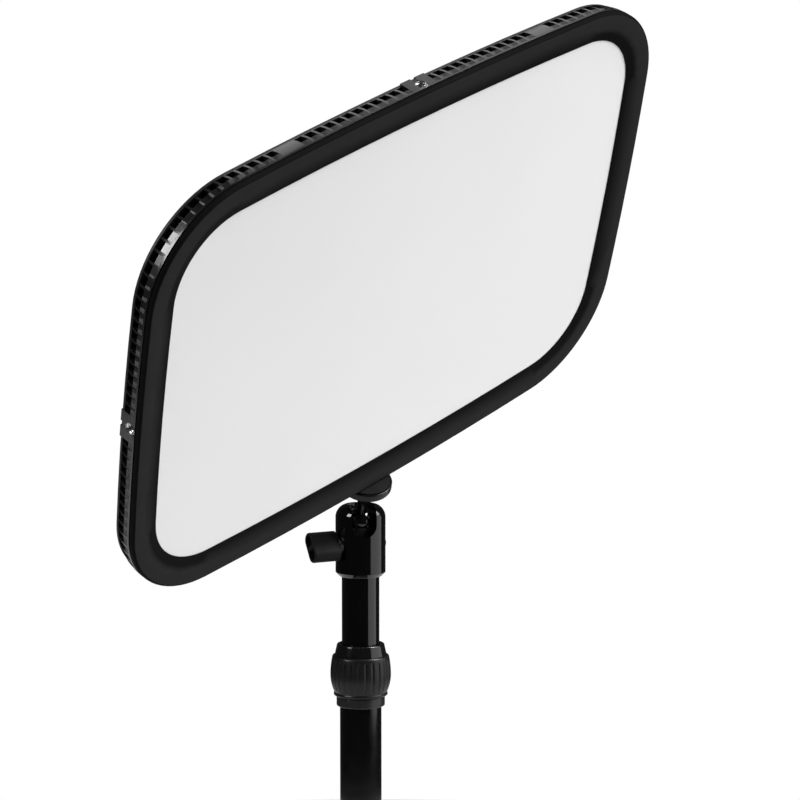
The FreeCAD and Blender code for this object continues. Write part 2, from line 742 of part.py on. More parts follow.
def control_module():
    """The shielded radio and control module."""
    y = BOARD_CENTRE_Y + 2
    carrier = box((26, 50), (y - 20, y - 2), (BOARD_BACK_Z - 0.8, BOARD_BACK_Z))
    shield = box((27.5, 43), (y - 18.5, y - 3.5), (BOARD_BACK_Z - 3.2, BOARD_BACK_Z - 0.8))
    return carrier.fuse(shield)


RIBBON_Y = CABLE_WINDOW_Y + 5.0


def ribbon_socket():
    return box((-10, 10), (RIBBON_Y - 2.6, RIBBON_Y + 2.6), (BOARD_FRONT_Z, BOARD_FRONT_Z + 2.4))


def led_ribbon():
    """The flat cable from the driver board up to the tray, through the window in the cover."""
    rise = box((-8, 8), (RIBBON_Y - 0.2, RIBBON_Y + 0.2), (BOARD_FRONT_Z + 2.4, TRAY_BACK_Z))
    tail = box((-8, 8), (RIBBON_Y - 14, RIBBON_Y + 0.2), (TRAY_BACK_Z - 0.4, TRAY_BACK_Z))
    return rise.fuse(tail)


def dc_jack():
    """The barrel inlet: a block on the board with its round mouth through the wall."""
    inside_wall = HOUSING_BOTTOM_Y + HOUSING_WALL
    block = box((JACK_X - 5.2, JACK_X + 5.2), (inside_wall, inside_wall + 12), (-27.6, BOARD_BACK_Z))
    nose = jack_cylinder(4.2, HOUSING_BOTTOM_Y + 0.3, inside_wall)
    mouth = HOUSING_BOTTOM_Y + 0.3
    return block.fuse(nose).cut(jack_cylinder(JACK_BORE_RADIUS, mouth, mouth + JACK_BORE_LENGTH))


def jack_pin():
    floor = HOUSING_BOTTOM_Y + 0.3 + JACK_BORE_LENGTH
    pin = jack_cylinder(1.0, HOUSING_BOTTOM_Y + 1.8, floor)
    tip = [e for e in pin.Edges if abs(e.BoundBox.YMax - (HOUSING_BOTTOM_Y + 1.8)) < 1e-6]
    return pin.makeFillet(0.5, tip)


ROCKER_PIVOT_Y = HOUSING_BOTTOM_Y + 1.5
ROCKER_HALF_LENGTH = 5.3
ROCKER_HALF_HEIGHT = 3.3
PIVOT_PIN_RADIUS = 0.8


def power_switch_body():
    """The switch's frame and case, open in front where the rocker tilts."""
    half_width = SWITCH_WIDTH / 2
    half_height = SWITCH_HEIGHT / 2
    face = HOUSING_BOTTOM_Y
    flange = box(
        (SWITCH_X - half_width, SWITCH_X + half_width),
        (face - 1.0, face),
        (SWITCH_Z - half_height, SWITCH_Z + half_height),
    )
    case = box(
        (SWITCH_X - half_width + 1, SWITCH_X + half_width - 1),
        (face, face + 9.5),
        (SWITCH_Z - half_height + 1, SWITCH_Z + half_height - 1),
    )
    cavity = box(
        (SWITCH_X - 5.9, SWITCH_X + 5.9),
        (face - 2, face + 7.0),
        (SWITCH_Z - 3.5, SWITCH_Z + 3.5),
    )
    pivot = cylinder(PIVOT_PIN_RADIUS + 0.05, SWITCH_Z - 6, SWITCH_Z + 6, SWITCH_X, ROCKER_PIVOT_Y)
    slot = box((SWITCH_X - 8, SWITCH_X + 8), (face - 2, face - 1e-3), (SWITCH_Z - 6, SWITCH_Z + 6))
    return flange.fuse(case).cut([cavity, pivot.cut(slot)])


def power_switch_rocker():
    """The rocker, tilted towards its off side."""
    lift = 2.6
    dip = 2.0
    corners = [
        (-ROCKER_HALF_LENGTH, -lift),
        (0.0, -dip),
        (ROCKER_HALF_LENGTH, -lift),
        (4.6, 1.5),
        (0.0, 3.0),
        (-4.6, 1.5),
    ]
    points = [Vector(x, y, -ROCKER_HALF_HEIGHT) for x, y in corners]
    rocker = polygon_prism(points, Vector(0, 0, 2 * ROCKER_HALF_HEIGHT))
    rocker = rocker.fuse(cylinder(PIVOT_PIN_RADIUS, -3.9, 3.9))
    rocker.Placement = Placement(
        Vector(SWITCH_X, ROCKER_PIVOT_Y, SWITCH_Z), Rotation(Z_AXIS, ROCKER_TILT)
    )
    return rocker


# ---------------------------------------------------------------- ball head


def ball_head_housing():
    """The round housing: a ball pocket, a tilt notch, a knob bore and a socket for the tube."""
    body = cylinder(HEAD_RADIUS, HEAD_BOTTOM, HEAD_TOP)
    top = [e for e in body.Edges if e.BoundBox.ZMin > HEAD_TOP - 0.01]
    body = body.makeFillet(HEAD_DOME_RADIUS, top)
    bottom = [e for e in body.Edges if e.BoundBox.ZMax < HEAD_BOTTOM + 0.01]
    body = body.makeChamfer(2.2, bottom)
    pocket_radius = BALL_RADIUS + BALL_CLEARANCE
    mouth_radius = 6.8
    mouth_height = math.sqrt(pocket_radius**2 - mouth_radius**2)
    mouth = turned(
        [
            (0, mouth_height - 1),
            (mouth_radius, mouth_height - 1),
            (mouth_radius, mouth_height),
            (7.6, HEAD_TOP - 0.7),
            (8.4, HEAD_TOP + 0.1),
            (8.4, HEAD_TOP + 2),
            (0, HEAD_TOP + 2),
        ]
    )
    cuts = [
        Part.makeSphere(pocket_radius),
        cylinder(pocket_radius, PLUNGER_BOTTOM - PLUNGER_TRAVEL - 0.15, 0),
        mouth,
        cylinder(UPPER_TUBE_RADIUS + 0.02, HEAD_BOTTOM - 1, HEAD_BOTTOM + TUBE_SOCKET_DEPTH),
        cylinder(HEAD_SCREW_RADIUS + 0.02, HEAD_BOTTOM, 0),
    ]
    cuts += [tilt_notch(), knob_bore(), guide_bore()]
    return body.cut(cuts)


def tilt_notch():
    """The U-shaped notch that lets the stem lie down to one side."""
    reach = HEAD_RADIUS + 2
    centre = Vector(0, 0, NOTCH_CENTRE_HEIGHT)
    round_end = cylinder_along(Vector(1, 0, 0), NOTCH_HALF_WIDTH, centre, reach)
    gap = box((0, reach), (-NOTCH_HALF_WIDTH, NOTCH_HALF_WIDTH), (NOTCH_CENTRE_HEIGHT, HEAD_TOP + 2))
    notch = round_end.fuse(gap)
    notch.Placement = Placement(Vector(0, 0, 0), Rotation(Z_AXIS, LEAN_HEADING))
    return notch


def towards_knob(shape):
    """Turn a shape made along +X so that it points along the knob's heading."""
    turned_shape = shape.copy()
    turned_shape.Placement = Placement(Vector(0, 0, 0), Rotation(Z_AXIS, KNOB_HEADING))
    return turned_shape


def knob_cylinder(radius, start, end):
    return cylinder_along(Vector(1, 0, 0), radius, Vector(start, 0, KNOB_AXIS_HEIGHT), end - start)


def knob_bore():
    bore = knob_cylinder(BUSH_RADIUS, 0, HEAD_RADIUS + 2)
    spot_face = knob_cylinder(5.2, HEAD_RADIUS - 1.0, HEAD_RADIUS + 2)
    return towards_knob(bore.fuse(spot_face))


def guide_bore():
    bore = knob_cylinder(GUIDE_SCREW_RADIUS, -HEAD_RADIUS - 2, 0)
    spot_face = knob_cylinder(2.9, -HEAD_RADIUS - 2, -HEAD_RADIUS + 0.4)
    return towards_knob(bore.fuse(spot_face))


def knob_bush():
    """The flanged bush in the housing wall that carries the lock knob."""
    sleeve = knob_cylinder(BUSH_RADIUS, BALL_RADIUS + 0.8, HEAD_RADIUS)
    flange = knob_cylinder(5.0, HEAD_RADIUS - 1.0, KNOB_START - 0.2)
    return sleeve.fuse(flange).cut(knob_cylinder(CLAMP_SCREW_RADIUS + 0.05, 0, KNOB_START))


def guide_screw():
    """The screw opposite the knob that keeps the brake plunger from turning."""
    shank = knob_cylinder(GUIDE_SCREW_RADIUS - 0.02, -HEAD_RADIUS + 0.4, -BALL_RADIUS + 0.7)
    head = knob_cylinder(2.8, -HEAD_RADIUS - 0.9, -HEAD_RADIUS + 0.4)
    rim = [e for e in head.Edges if e.BoundBox.XMax < -HEAD_RADIUS - 0.89]
    return head.makeFillet(0.6, rim).fuse(shank)


def ball_seat():
    """The nylon cup under the ball."""
    cup = cylinder(BALL_RADIUS, PLUNGER_TOP + 0.1, -3.2)
    return cup.cut(Part.makeSphere(BALL_RADIUS + BALL_CLEARANCE / 2))


def wedge_height(x):
    """Height of the clamp screw's conical nose above its axis, at a distance from the pole."""
    return (x + WEDGE_TIP) * math.tan(math.radians(WEDGE_SLOPE))


def brake_plunger():
    """The block that lifts the seat: its sloped ceiling rides on the clamp screw's nose."""
    block = cylinder(BALL_RADIUS - 0.02, PLUNGER_BOTTOM, PLUNGER_TOP)
    base = KNOB_AXIS_HEIGHT + WEDGE_GAP
    slope_end = 3.1
    below = PLUNGER_BOTTOM - 1
    roof = KNOB_AXIS_HEIGHT + 3.0
    outline = [
        (-3.4, below),
        (-3.4, base - 0.9),
        (-WEDGE_TIP, base),
        (slope_end, base + wedge_height(slope_end)),
        (slope_end, roof),
        (9.0, roof),
        (9.0, below),
    ]
    half_width = CLAMP_SCREW_RADIUS + 0.3
    points = [Vector(x, -half_width, z) for x, z in outline]
    pocket = polygon_prism(points, Vector(0, 2 * half_width, 0))
    slot_height = (KNOB_AXIS_HEIGHT - 1.7, KNOB_AXIS_HEIGHT + 2.2)
    guide_slot = box((-9, -BALL_RADIUS + 0.9), (-1.6, 1.6), slot_height)
    return block.cut([pocket, guide_slot])


def clamp_screw():
    """The threaded rod that the knob draws in and out, with a conical nose."""
    base = CLAMP_SCREW_RADIUS / math.tan(math.radians(WEDGE_SLOPE)) - WEDGE_TIP
    profile = [
        Vector(-WEDGE_TIP, 0, KNOB_AXIS_HEIGHT),
        Vector(base, 0, KNOB_AXIS_HEIGHT + CLAMP_SCREW_RADIUS),
        Vector(26.0, 0, KNOB_AXIS_HEIGHT + CLAMP_SCREW_RADIUS),
        Vector(26.0, 0, KNOB_AXIS_HEIGHT),
    ]
    face = Part.Face(Part.makePolygon(profile + [profile[0]]))
    return face.revolve(Vector(0, 0, KNOB_AXIS_HEIGHT), Vector(1, 0, 0), 360)


def lock_knob():
    """The wing-shaped knob, an oval bar with a hollow each side of its middle rib."""
    round_radius = KNOB_WIDTH_ACROSS / 2
    straight = KNOB_LENGTH_ACROSS / 2 - round_radius
    length = KNOB_END - KNOB_START
    bar = box((KNOB_START, KNOB_END), (-round_radius, round_radius), (-straight, straight))
    ends = [
        cylinder_along(Vector(1, 0, 0), round_radius, Vector(KNOB_START, 0, side * straight), length)
        for side in (-1, 1)
    ]
    wing = bar.fuse(ends).removeSplitter()
    wing = wing.makeFillet(0.7, [e for e in wing.Edges if e.BoundBox.XMin > KNOB_END - 0.01])
    boss = cylinder_along(Vector(1, 0, 0), 4.3, Vector(KNOB_START, 0, 0), length - 2)
    wall = 1.3
    hollow_radius = round_radius - wall
    rib = 1.0
    hollows = []
    for side in (-1, 1):
        inner = side * rib
        outer = side * straight
        round_end = cylinder_along(
            Vector(1, 0, 0), hollow_radius, Vector(KNOB_END - 3, 0, outer), 5
        )
        straight_run = box(
            (KNOB_END - 3, KNOB_END + 2),
            (-hollow_radius, hollow_radius),
            (min(inner, outer), max(inner, outer)),
        )
        hollows.append(round_end.fuse(straight_run))
    bore = cylinder_along(
        Vector(1, 0, 0), CLAMP_SCREW_RADIUS + 0.05, Vector(KNOB_START - 1, 0, 0), 13.5
    )
    knob = wing.fuse(boss).cut(hollows + [bore])
    knob.Placement = Placement(
        Vector(0, 0, KNOB_AXIS_HEIGHT), Rotation(Vector(1, 0, 0), KNOB_CLOCKING)
    )
    return knob


def ball_stem():
    """The ball, its waisted neck and the quarter-inch stud, in one piece."""
    neck_start = math.sqrt(BALL_RADIUS**2 - NECK_RADIUS**2)
    flare_start = 10.0
    flare_end = DISC_BOTTOM - 1.2
    stud_top = PANEL_EDGE_HEIGHT + 6.8
    stud = QUARTER_INCH_STUD_RADIUS
    edges = [
        arc((0, -BALL_RADIUS), (BALL_RADIUS, 0), (NECK_RADIUS, neck_start)),
        line((NECK_RADIUS, neck_start), (NECK_RADIUS, flare_start)),
        arc((NECK_RADIUS, flare_start), (3.6, 17.6), (NECK_FLARE_RADIUS, flare_end)),
        line((NECK_FLARE_RADIUS, flare_end), (NECK_FLARE_RADIUS, DISC_BOTTOM)),
        line((NECK_FLARE_RADIUS, DISC_BOTTOM), (stud, DISC_BOTTOM)),
        line((stud, DISC_BOTTOM), (stud, stud_top - 0.6)),
        line((stud, stud_top - 0.6), (stud - 0.6, stud_top)),
        line((stud - 0.6, stud_top), (0, stud_top)),
        line((0, stud_top), (0, -BALL_RADIUS)),
    ]
    return turned_edges(edges)


def lock_disc():
    """The round nut on the stud that locks the panel's heading."""
    disc = cylinder(DISC_RADIUS, DISC_BOTTOM, DISC_BOTTOM + DISC_THICKNESS)
    disc = round_ends(disc, 1.8, 0.6)
    return disc.cut(cylinder(QUARTER_INCH_STUD_RADIUS + 0.05, 0, 60))


def round_ends(shape, low_radius, high_radius):
    """Round the bottom rim and the top rim of an upright cylinder."""
    low_z = shape.BoundBox.ZMin
    high_z = shape.BoundBox.ZMax
    low = [e for e in shape.Edges if e.BoundBox.ZMax < low_z + 0.01]
    shape = shape.makeFillet(low_radius, low)
    high = [e for e in shape.Edges if e.BoundBox.ZMin > high_z - 0.01]
    return shape.makeFillet(high_radius, high)


def disc_pad():
    """The rubber washer that keeps the lock disc off the panel's finish."""
    low = DISC_BOTTOM + DISC_THICKNESS
    return tube(DISC_RADIUS - 1.2, QUARTER_INCH_STUD_RADIUS + 0.3, low, low + PAD_THICKNESS)


# ---------------------------------------------------------------- pole


def upper_tube():
    return tube(UPPER_TUBE_RADIUS, UPPER_TUBE_RADIUS - TUBE_WALL, UPPER_TUBE_BOTTOM, UPPER_TUBE_TOP)


def tube_plug():
    """The plug in the top of the upper tube that the head's screw pulls against."""
    plug = cylinder(UPPER_TUBE_RADIUS - TUBE_WALL - 0.02, UPPER_TUBE_TOP - 12, UPPER_TUBE_TOP)
    return plug.cut(cylinder(HEAD_SCREW_RADIUS + 0.1, UPPER_TUBE_TOP - 13, UPPER_TUBE_TOP + 1))


def head_screw():
    """The cap screw that fastens the ball head to the tube."""
    seat = UPPER_TUBE_TOP - 12
    head = cylinder(4.2, seat - 5, seat)
    corners = []
    for index in range(6):
        angle = math.radians(60 * index)
        corners.append(Vector(2.3 * math.cos(angle), 2.3 * math.sin(angle), seat - 5))
    recess = polygon_prism(corners, Vector(0, 0, 2.5))
    return head.fuse(cylinder(HEAD_SCREW_RADIUS, seat, UPPER_TUBE_TOP + 4.0)).cut(recess)


def slide_bushing():
    """The plastic guide on the lower end of the upper tube."""
    shoulder = UPPER_TUBE_BOTTOM - 0.1
    spigot = cylinder(UPPER_TUBE_RADIUS - TUBE_WALL - 0.05, shoulder, UPPER_TUBE_BOTTOM + 10)
    flange = cylinder(LOWER_TUBE_RADIUS - TUBE_WALL - 0.04, shoulder - 5.9, shoulder)
    return spigot.fuse(flange).cut(cylinder(6.5, UPPER_TUBE_BOTTOM - 7, UPPER_TUBE_BOTTOM + 11))


PIN_HEIGHT = 12.0
FOOT_PLUG_TOP = 22.0
FOOT_THREAD_DEPTH = 16.0


def lower_tube():
    wall = tube(LOWER_TUBE_RADIUS, LOWER_TUBE_RADIUS - TUBE_WALL, FOOT_FLANGE, LOWER_TUBE_TOP)
    return wall.cut(cylinder_along(Vector(1, 0, 0), 1.52, Vector(-20, 0, PIN_HEIGHT), 40))


def foot_plug():
    """The end plug with the threaded socket that the light stands on."""
    flange = cylinder(LOWER_TUBE_RADIUS, 0, FOOT_FLANGE)
    spigot = cylinder(LOWER_TUBE_RADIUS - TUBE_WALL - 0.02, FOOT_FLANGE, FOOT_PLUG_TOP)
    plug = flange.fuse(spigot).cut(cylinder(THREE_EIGHTHS_THREAD_RADIUS, -1, FOOT_THREAD_DEPTH))
    pins = [
        cylinder_along(Vector(side, 0, 0), 1.52, Vector(side * 7.0, 0, PIN_HEIGHT), 5)
        for side in (-1, 1)
    ]
    return plug.cut(pins)


def foot_pins():
    """Two pins through the lower tube's wall into the end plug."""
    return joined(
        [
            cylinder_along(Vector(side, 0, 0), 1.5, Vector(side * 7.0, 0, PIN_HEIGHT), 4.1)
            for side in (-1, 1)
        ]
    )


COLLET_TOP = LOWER_TUBE_TOP + 8.0
COLLET_BOTTOM = LOWER_TUBE_TOP - 14.0


def collet_sleeve():
    """The split sleeve on the lower tube that the collar squeezes round the upper tube."""
    grip_radius = UPPER_TUBE_RADIUS + SLIDING_CLEARANCE
    sleeve = turned(
        [
            (grip_radius, LOWER_TUBE_TOP),
            (grip_radius, COLLET_TOP),
            (11.5, COLLET_TOP),
            (12.1, LOWER_TUBE_TOP),
            (12.1, COLLET_BOTTOM),
            (LOWER_TUBE_RADIUS + 0.02, COLLET_BOTTOM),
            (LOWER_TUBE_RADIUS + 0.02, LOWER_TUBE_TOP),
        ]
    )
    slit = box((9, 13), (-0.4, 0.4), (LOWER_TUBE_TOP + 1.0, COLLET_TOP + 1))
    slits = []
    for index in range(4):
        cut = slit.copy()
        cut.Placement = Placement(Vector(0, 0, 0), Rotation(Z_AXIS, 90 * index + 45))
        slits.append(cut)
    return sleeve.cut(slits)


def twist_collar():
    """The barrel-shaped grip that tightens the collet."""
    top = LOWER_TUBE_TOP + COLLAR_TOP - COLLAR_CAP_HEIGHT
    bottom = LOWER_TUBE_TOP + COLLAR_BOTTOM
    belly = LOWER_TUBE_TOP - 4.7
    bore = 12.3
    shoulder = (COLLAR_SHOULDER_RADIUS, top - 0.6)
    waist = (COLLAR_WAIST_RADIUS, bottom + 1.9)
    edges = [
        line((bore, top), (COLLAR_SHOULDER_RADIUS - 0.6, top)),
        line((COLLAR_SHOULDER_RADIUS - 0.6, top), shoulder),
        arc(shoulder, (COLLAR_BELLY_RADIUS, belly), waist),
        line(waist, (COLLAR_LIP_RADIUS, bottom + 1.5)),
        line((COLLAR_LIP_RADIUS, bottom + 1.5), (COLLAR_LIP_RADIUS, bottom + 0.4)),
        line((COLLAR_LIP_RADIUS, bottom + 0.4), (COLLAR_LIP_RADIUS - 0.4, bottom)),
        line((COLLAR_LIP_RADIUS - 0.4, bottom), (bore, bottom)),
        line((bore, bottom), (bore, top)),
    ]
    return turned_edges(edges)


def collar_trim_ring():
    """The glossy cone-shaped cap on top of the collar."""
    low = LOWER_TUBE_TOP + COLLAR_TOP - COLLAR_CAP_HEIGHT
    high = LOWER_TUBE_TOP + COLLAR_TOP
    neck = UPPER_TUBE_RADIUS + 0.3
    roof = COLLET_TOP + 0.4
    return turned(
        [
            (neck, high),
            (COLLAR_TOP_RADIUS - 0.6, high),
            (COLLAR_TOP_RADIUS - 0.15, high - 0.2),
            (COLLAR_TOP_RADIUS, high - 0.7),
            (COLLAR_CAP_RADIUS, low),
            (12.4, low),
            (12.4, roof),
            (neck, roof),
        ]
    )


def collar_base_ring():
    """The fixed ring on the lower tube that the collar turns against."""
    low = LOWER_TUBE_TOP + BASE_RING_BOTTOM
    high = LOWER_TUBE_TOP + COLLAR_BOTTOM - 0.3
    ring = round_ends(cylinder(BASE_RING_RADIUS, low, high), 0.6, 0.4)
    return ring.cut(cylinder(LOWER_TUBE_RADIUS + 0.02, low - 1, high + 1))


# ---------------------------------------------------------------- write every sub-part

SUBPARTS = [
    ("front_bezel", front_bezel, PANEL),
    ("diffuser_plate", diffuser_plate, PANEL),
    ("diffusion_film", diffusion_film, PANEL),
    ("light_guide_plate", light_guide_plate, PANEL),
    ("reflector_sheet", reflector_sheet, PANEL),
    ("heat_tray", heat_tray, PANEL),
    ("led_strip_top", lambda: light_strip(TOP_MIDDLE, LONG_STRIP_HALF), PANEL),
    ("led_strip_bottom", lambda: light_strip(BOTTOM_MIDDLE, LONG_STRIP_HALF), PANEL),
    ("led_strip_left", lambda: light_strip(LEFT_MIDDLE, SHORT_STRIP_HALF), PANEL),
    ("led_strip_right", lambda: light_strip(RIGHT_MIDDLE, SHORT_STRIP_HALF), PANEL),
    ("led_chips_warm", lambda: light_chips(0), PANEL),
    ("led_chips_cool", lambda: light_chips(1), PANEL),
    ("housing_rim", housing_rim, PANEL),
    ("insert_top", lambda: threaded_insert(TOP_MIDDLE), PANEL),
    ("insert_bottom", lambda: threaded_insert(BOTTOM_MIDDLE), PANEL),
    ("insert_left", lambda: threaded_insert(LEFT_MIDDLE), PANEL),
    ("insert_right", lambda: threaded_insert(RIGHT_MIDDLE), PANEL),
    ("rear_cover", rear_cover, PANEL),
    ("cover_screws", cover_screws, PANEL),
    ("tray_screws", tray_screws, PANEL),
    ("electronics_housing", electronics_housing, PANEL),
    ("housing_screws", housing_screws, PANEL),
    ("driver_board", driver_board, PANEL),
    ("board_screws", board_screws, PANEL),
    ("board_chokes", board_chokes, PANEL),
    ("board_capacitors", board_capacitors, PANEL),
    ("board_chips", board_chips, PANEL),
    ("control_module", control_module, PANEL),
    ("ribbon_socket", ribbon_socket, PANEL),
    ("led_ribbon", led_ribbon, PANEL),
    ("dc_jack", dc_jack, PANEL),
    ("jack_pin", jack_pin, PANEL),
    ("power_switch_body", power_switch_body, PANEL),
    ("power_switch_rocker", power_switch_rocker, PANEL),
    ("lock_disc", lock_disc, STEM),
    ("disc_pad", disc_pad, STEM),
    ("ball_stem", ball_stem, STEM),
    ("ball_seat", ball_seat, HEAD),
    ("ball_head_housing", ball_head_housing, HEAD),
    ("brake_plunger", brake_plunger, KNOB),
    ("clamp_screw", clamp_screw, KNOB),
    ("knob_bush", knob_bush, KNOB),
    ("lock_knob", lock_knob, KNOB),
    ("guide_screw", guide_screw, KNOB),
    ("upper_tube", upper_tube, POLE),
    ("tube_plug", tube_plug, POLE),
    ("head_screw", head_screw, POLE),
    ("slide_bushing", slide_bushing, POLE),
    ("lower_tube", lower_tube, POLE),
    ("foot_plug", foot_plug, POLE),
    ("foot_pins", foot_pins, POLE),
    ("collet_sleeve", collet_sleeve, POLE),
    ("twist_collar", twist_collar, POLE),
    ("collar_trim_ring", collar_trim_ring, POLE),
    ("collar_base_ring", collar_base_ring, POLE),
]

os.makedirs("parts", exist_ok=True)
for name, build, frame in SUBPARTS:
    export(name, build(), frame)
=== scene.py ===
import json
import math

import bmesh
import bpy
from mathutils import Matrix, Vector


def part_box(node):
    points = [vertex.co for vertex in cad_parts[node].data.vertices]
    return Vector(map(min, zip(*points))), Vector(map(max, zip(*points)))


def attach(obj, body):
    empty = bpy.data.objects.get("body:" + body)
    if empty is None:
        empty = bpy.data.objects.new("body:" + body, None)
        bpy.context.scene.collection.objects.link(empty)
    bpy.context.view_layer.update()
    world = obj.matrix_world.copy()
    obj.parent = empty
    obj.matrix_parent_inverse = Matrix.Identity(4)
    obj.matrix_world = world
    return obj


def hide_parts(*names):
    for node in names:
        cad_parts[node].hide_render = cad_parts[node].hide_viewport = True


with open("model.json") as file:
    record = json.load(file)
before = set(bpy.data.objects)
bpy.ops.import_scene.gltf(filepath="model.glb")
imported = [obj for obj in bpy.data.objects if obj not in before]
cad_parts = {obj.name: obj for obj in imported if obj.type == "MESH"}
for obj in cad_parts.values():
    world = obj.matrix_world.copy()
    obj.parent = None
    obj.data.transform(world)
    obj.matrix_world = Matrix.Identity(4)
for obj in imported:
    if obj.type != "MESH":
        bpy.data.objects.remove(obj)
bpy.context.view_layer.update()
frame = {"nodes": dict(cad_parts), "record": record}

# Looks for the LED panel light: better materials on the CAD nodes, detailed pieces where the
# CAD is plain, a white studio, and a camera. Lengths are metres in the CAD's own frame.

MM = 0.001
record = frame["record"]
mounts = {mount["name"]: mount for mount in record["mounts"]}

# ------------------------------------------------------------------ places

panel_x = Vector(mounts["accessory_right"]["axis"]).normalized()
panel_y = Vector(mounts["accessory_top"]["axis"]).normalized()
panel_n = panel_x.cross(panel_y).normalized()
DIFFUSER_MIDDLE_Z = -3.4 * MM
diffuser_low, diffuser_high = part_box("diffuser_plate")
panel_centre = (Vector(diffuser_low) + Vector(diffuser_high)) / 2 - panel_n * DIFFUSER_MIDDLE_Z
PANEL = Matrix.Translation(panel_centre) @ Matrix((panel_x, panel_y, panel_n)).transposed().to_4x4()

# ------------------------------------------------------------------ materials


def new_material(name):
    material = bpy.data.materials.new(name)
    material.use_nodes = True
    nodes = material.node_tree.nodes
    shader = nodes["Principled BSDF"]
    return material, nodes, material.node_tree.links, shader


def noise(nodes, links, scale, detail=4.0, stretch=(1.0, 1.0, 1.0), roughness=0.55):
    """Noise in the object's own coordinates, with a scale in features per metre."""
    where = nodes.new("ShaderNodeTexCoord")
    mapping = nodes.new("ShaderNodeMapping")
    mapping.inputs["Scale"].default_value = stretch
    texture = nodes.new("ShaderNodeTexNoise")
    texture.inputs["Scale"].default_value = scale
    texture.inputs["Detail"].default_value = detail
    texture.inputs["Roughness"].default_value = roughness
    links.new(where.outputs["Object"], mapping.inputs["Vector"])
    links.new(mapping.outputs["Vector"], texture.inputs["Vector"])
    return texture.outputs["Fac"]


def spread(nodes, links, value, low, high):
    """A value from 0 to 1 mapped onto low to high."""
    ranged = nodes.new("ShaderNodeMapRange")
    ranged.inputs["From Min"].default_value = 0.3
    ranged.inputs["From Max"].default_value = 0.7
    ranged.inputs["To Min"].default_value = low
    ranged.inputs["To Max"].default_value = high
    links.new(value, ranged.inputs["Value"])
    return ranged.outputs["Result"]


def colour_mix(nodes, links, value, first, second):
    mix = nodes.new("ShaderNodeMix")
    mix.data_type = "RGBA"
    mix.inputs[6].default_value = (*first, 1.0)
    mix.inputs[7].default_value = (*second, 1.0)
    links.new(value, mix.inputs[0])
    return mix.outputs[2]


def bump(nodes, links, height, strength, distance, shader):
    node = nodes.new("ShaderNodeBump")
    node.inputs["Strength"].default_value = strength
    node.inputs["Distance"].default_value = distance
    links.new(height, node.inputs["Height"])
    links.new(node.outputs["Normal"], shader.inputs["Normal"])


def finish_material(
    name, dark, light, rough, metallic=0.0, specular=0.5, cloud=35.0, grain=2500.0,
    grain_depth=0.02 * MM, grain_strength=0.35, stretch=(1.0, 1.0, 1.0),
):
    """A solid finish: slow colour clouds, roughness that varies, and a fine surface grain.

    Cloud and grain are in features per metre.
    """
    material, nodes, links, shader = new_material(name)
    clouds = noise(nodes, links, cloud, 3.0)
    links.new(colour_mix(nodes, links, clouds, dark, light), shader.inputs["Base Color"])
    smudges = noise(nodes, links, cloud * 2.3, 5.0)
    links.new(spread(nodes, links, smudges, rough[0], rough[1]), shader.inputs["Roughness"])
    shader.inputs["Metallic"].default_value = metallic
    shader.inputs["Specular IOR Level"].default_value = specular
    fine = noise(nodes, links, grain, 2.0, stretch)
    bump(nodes, links, fine, grain_strength, grain_depth, shader)
    return material


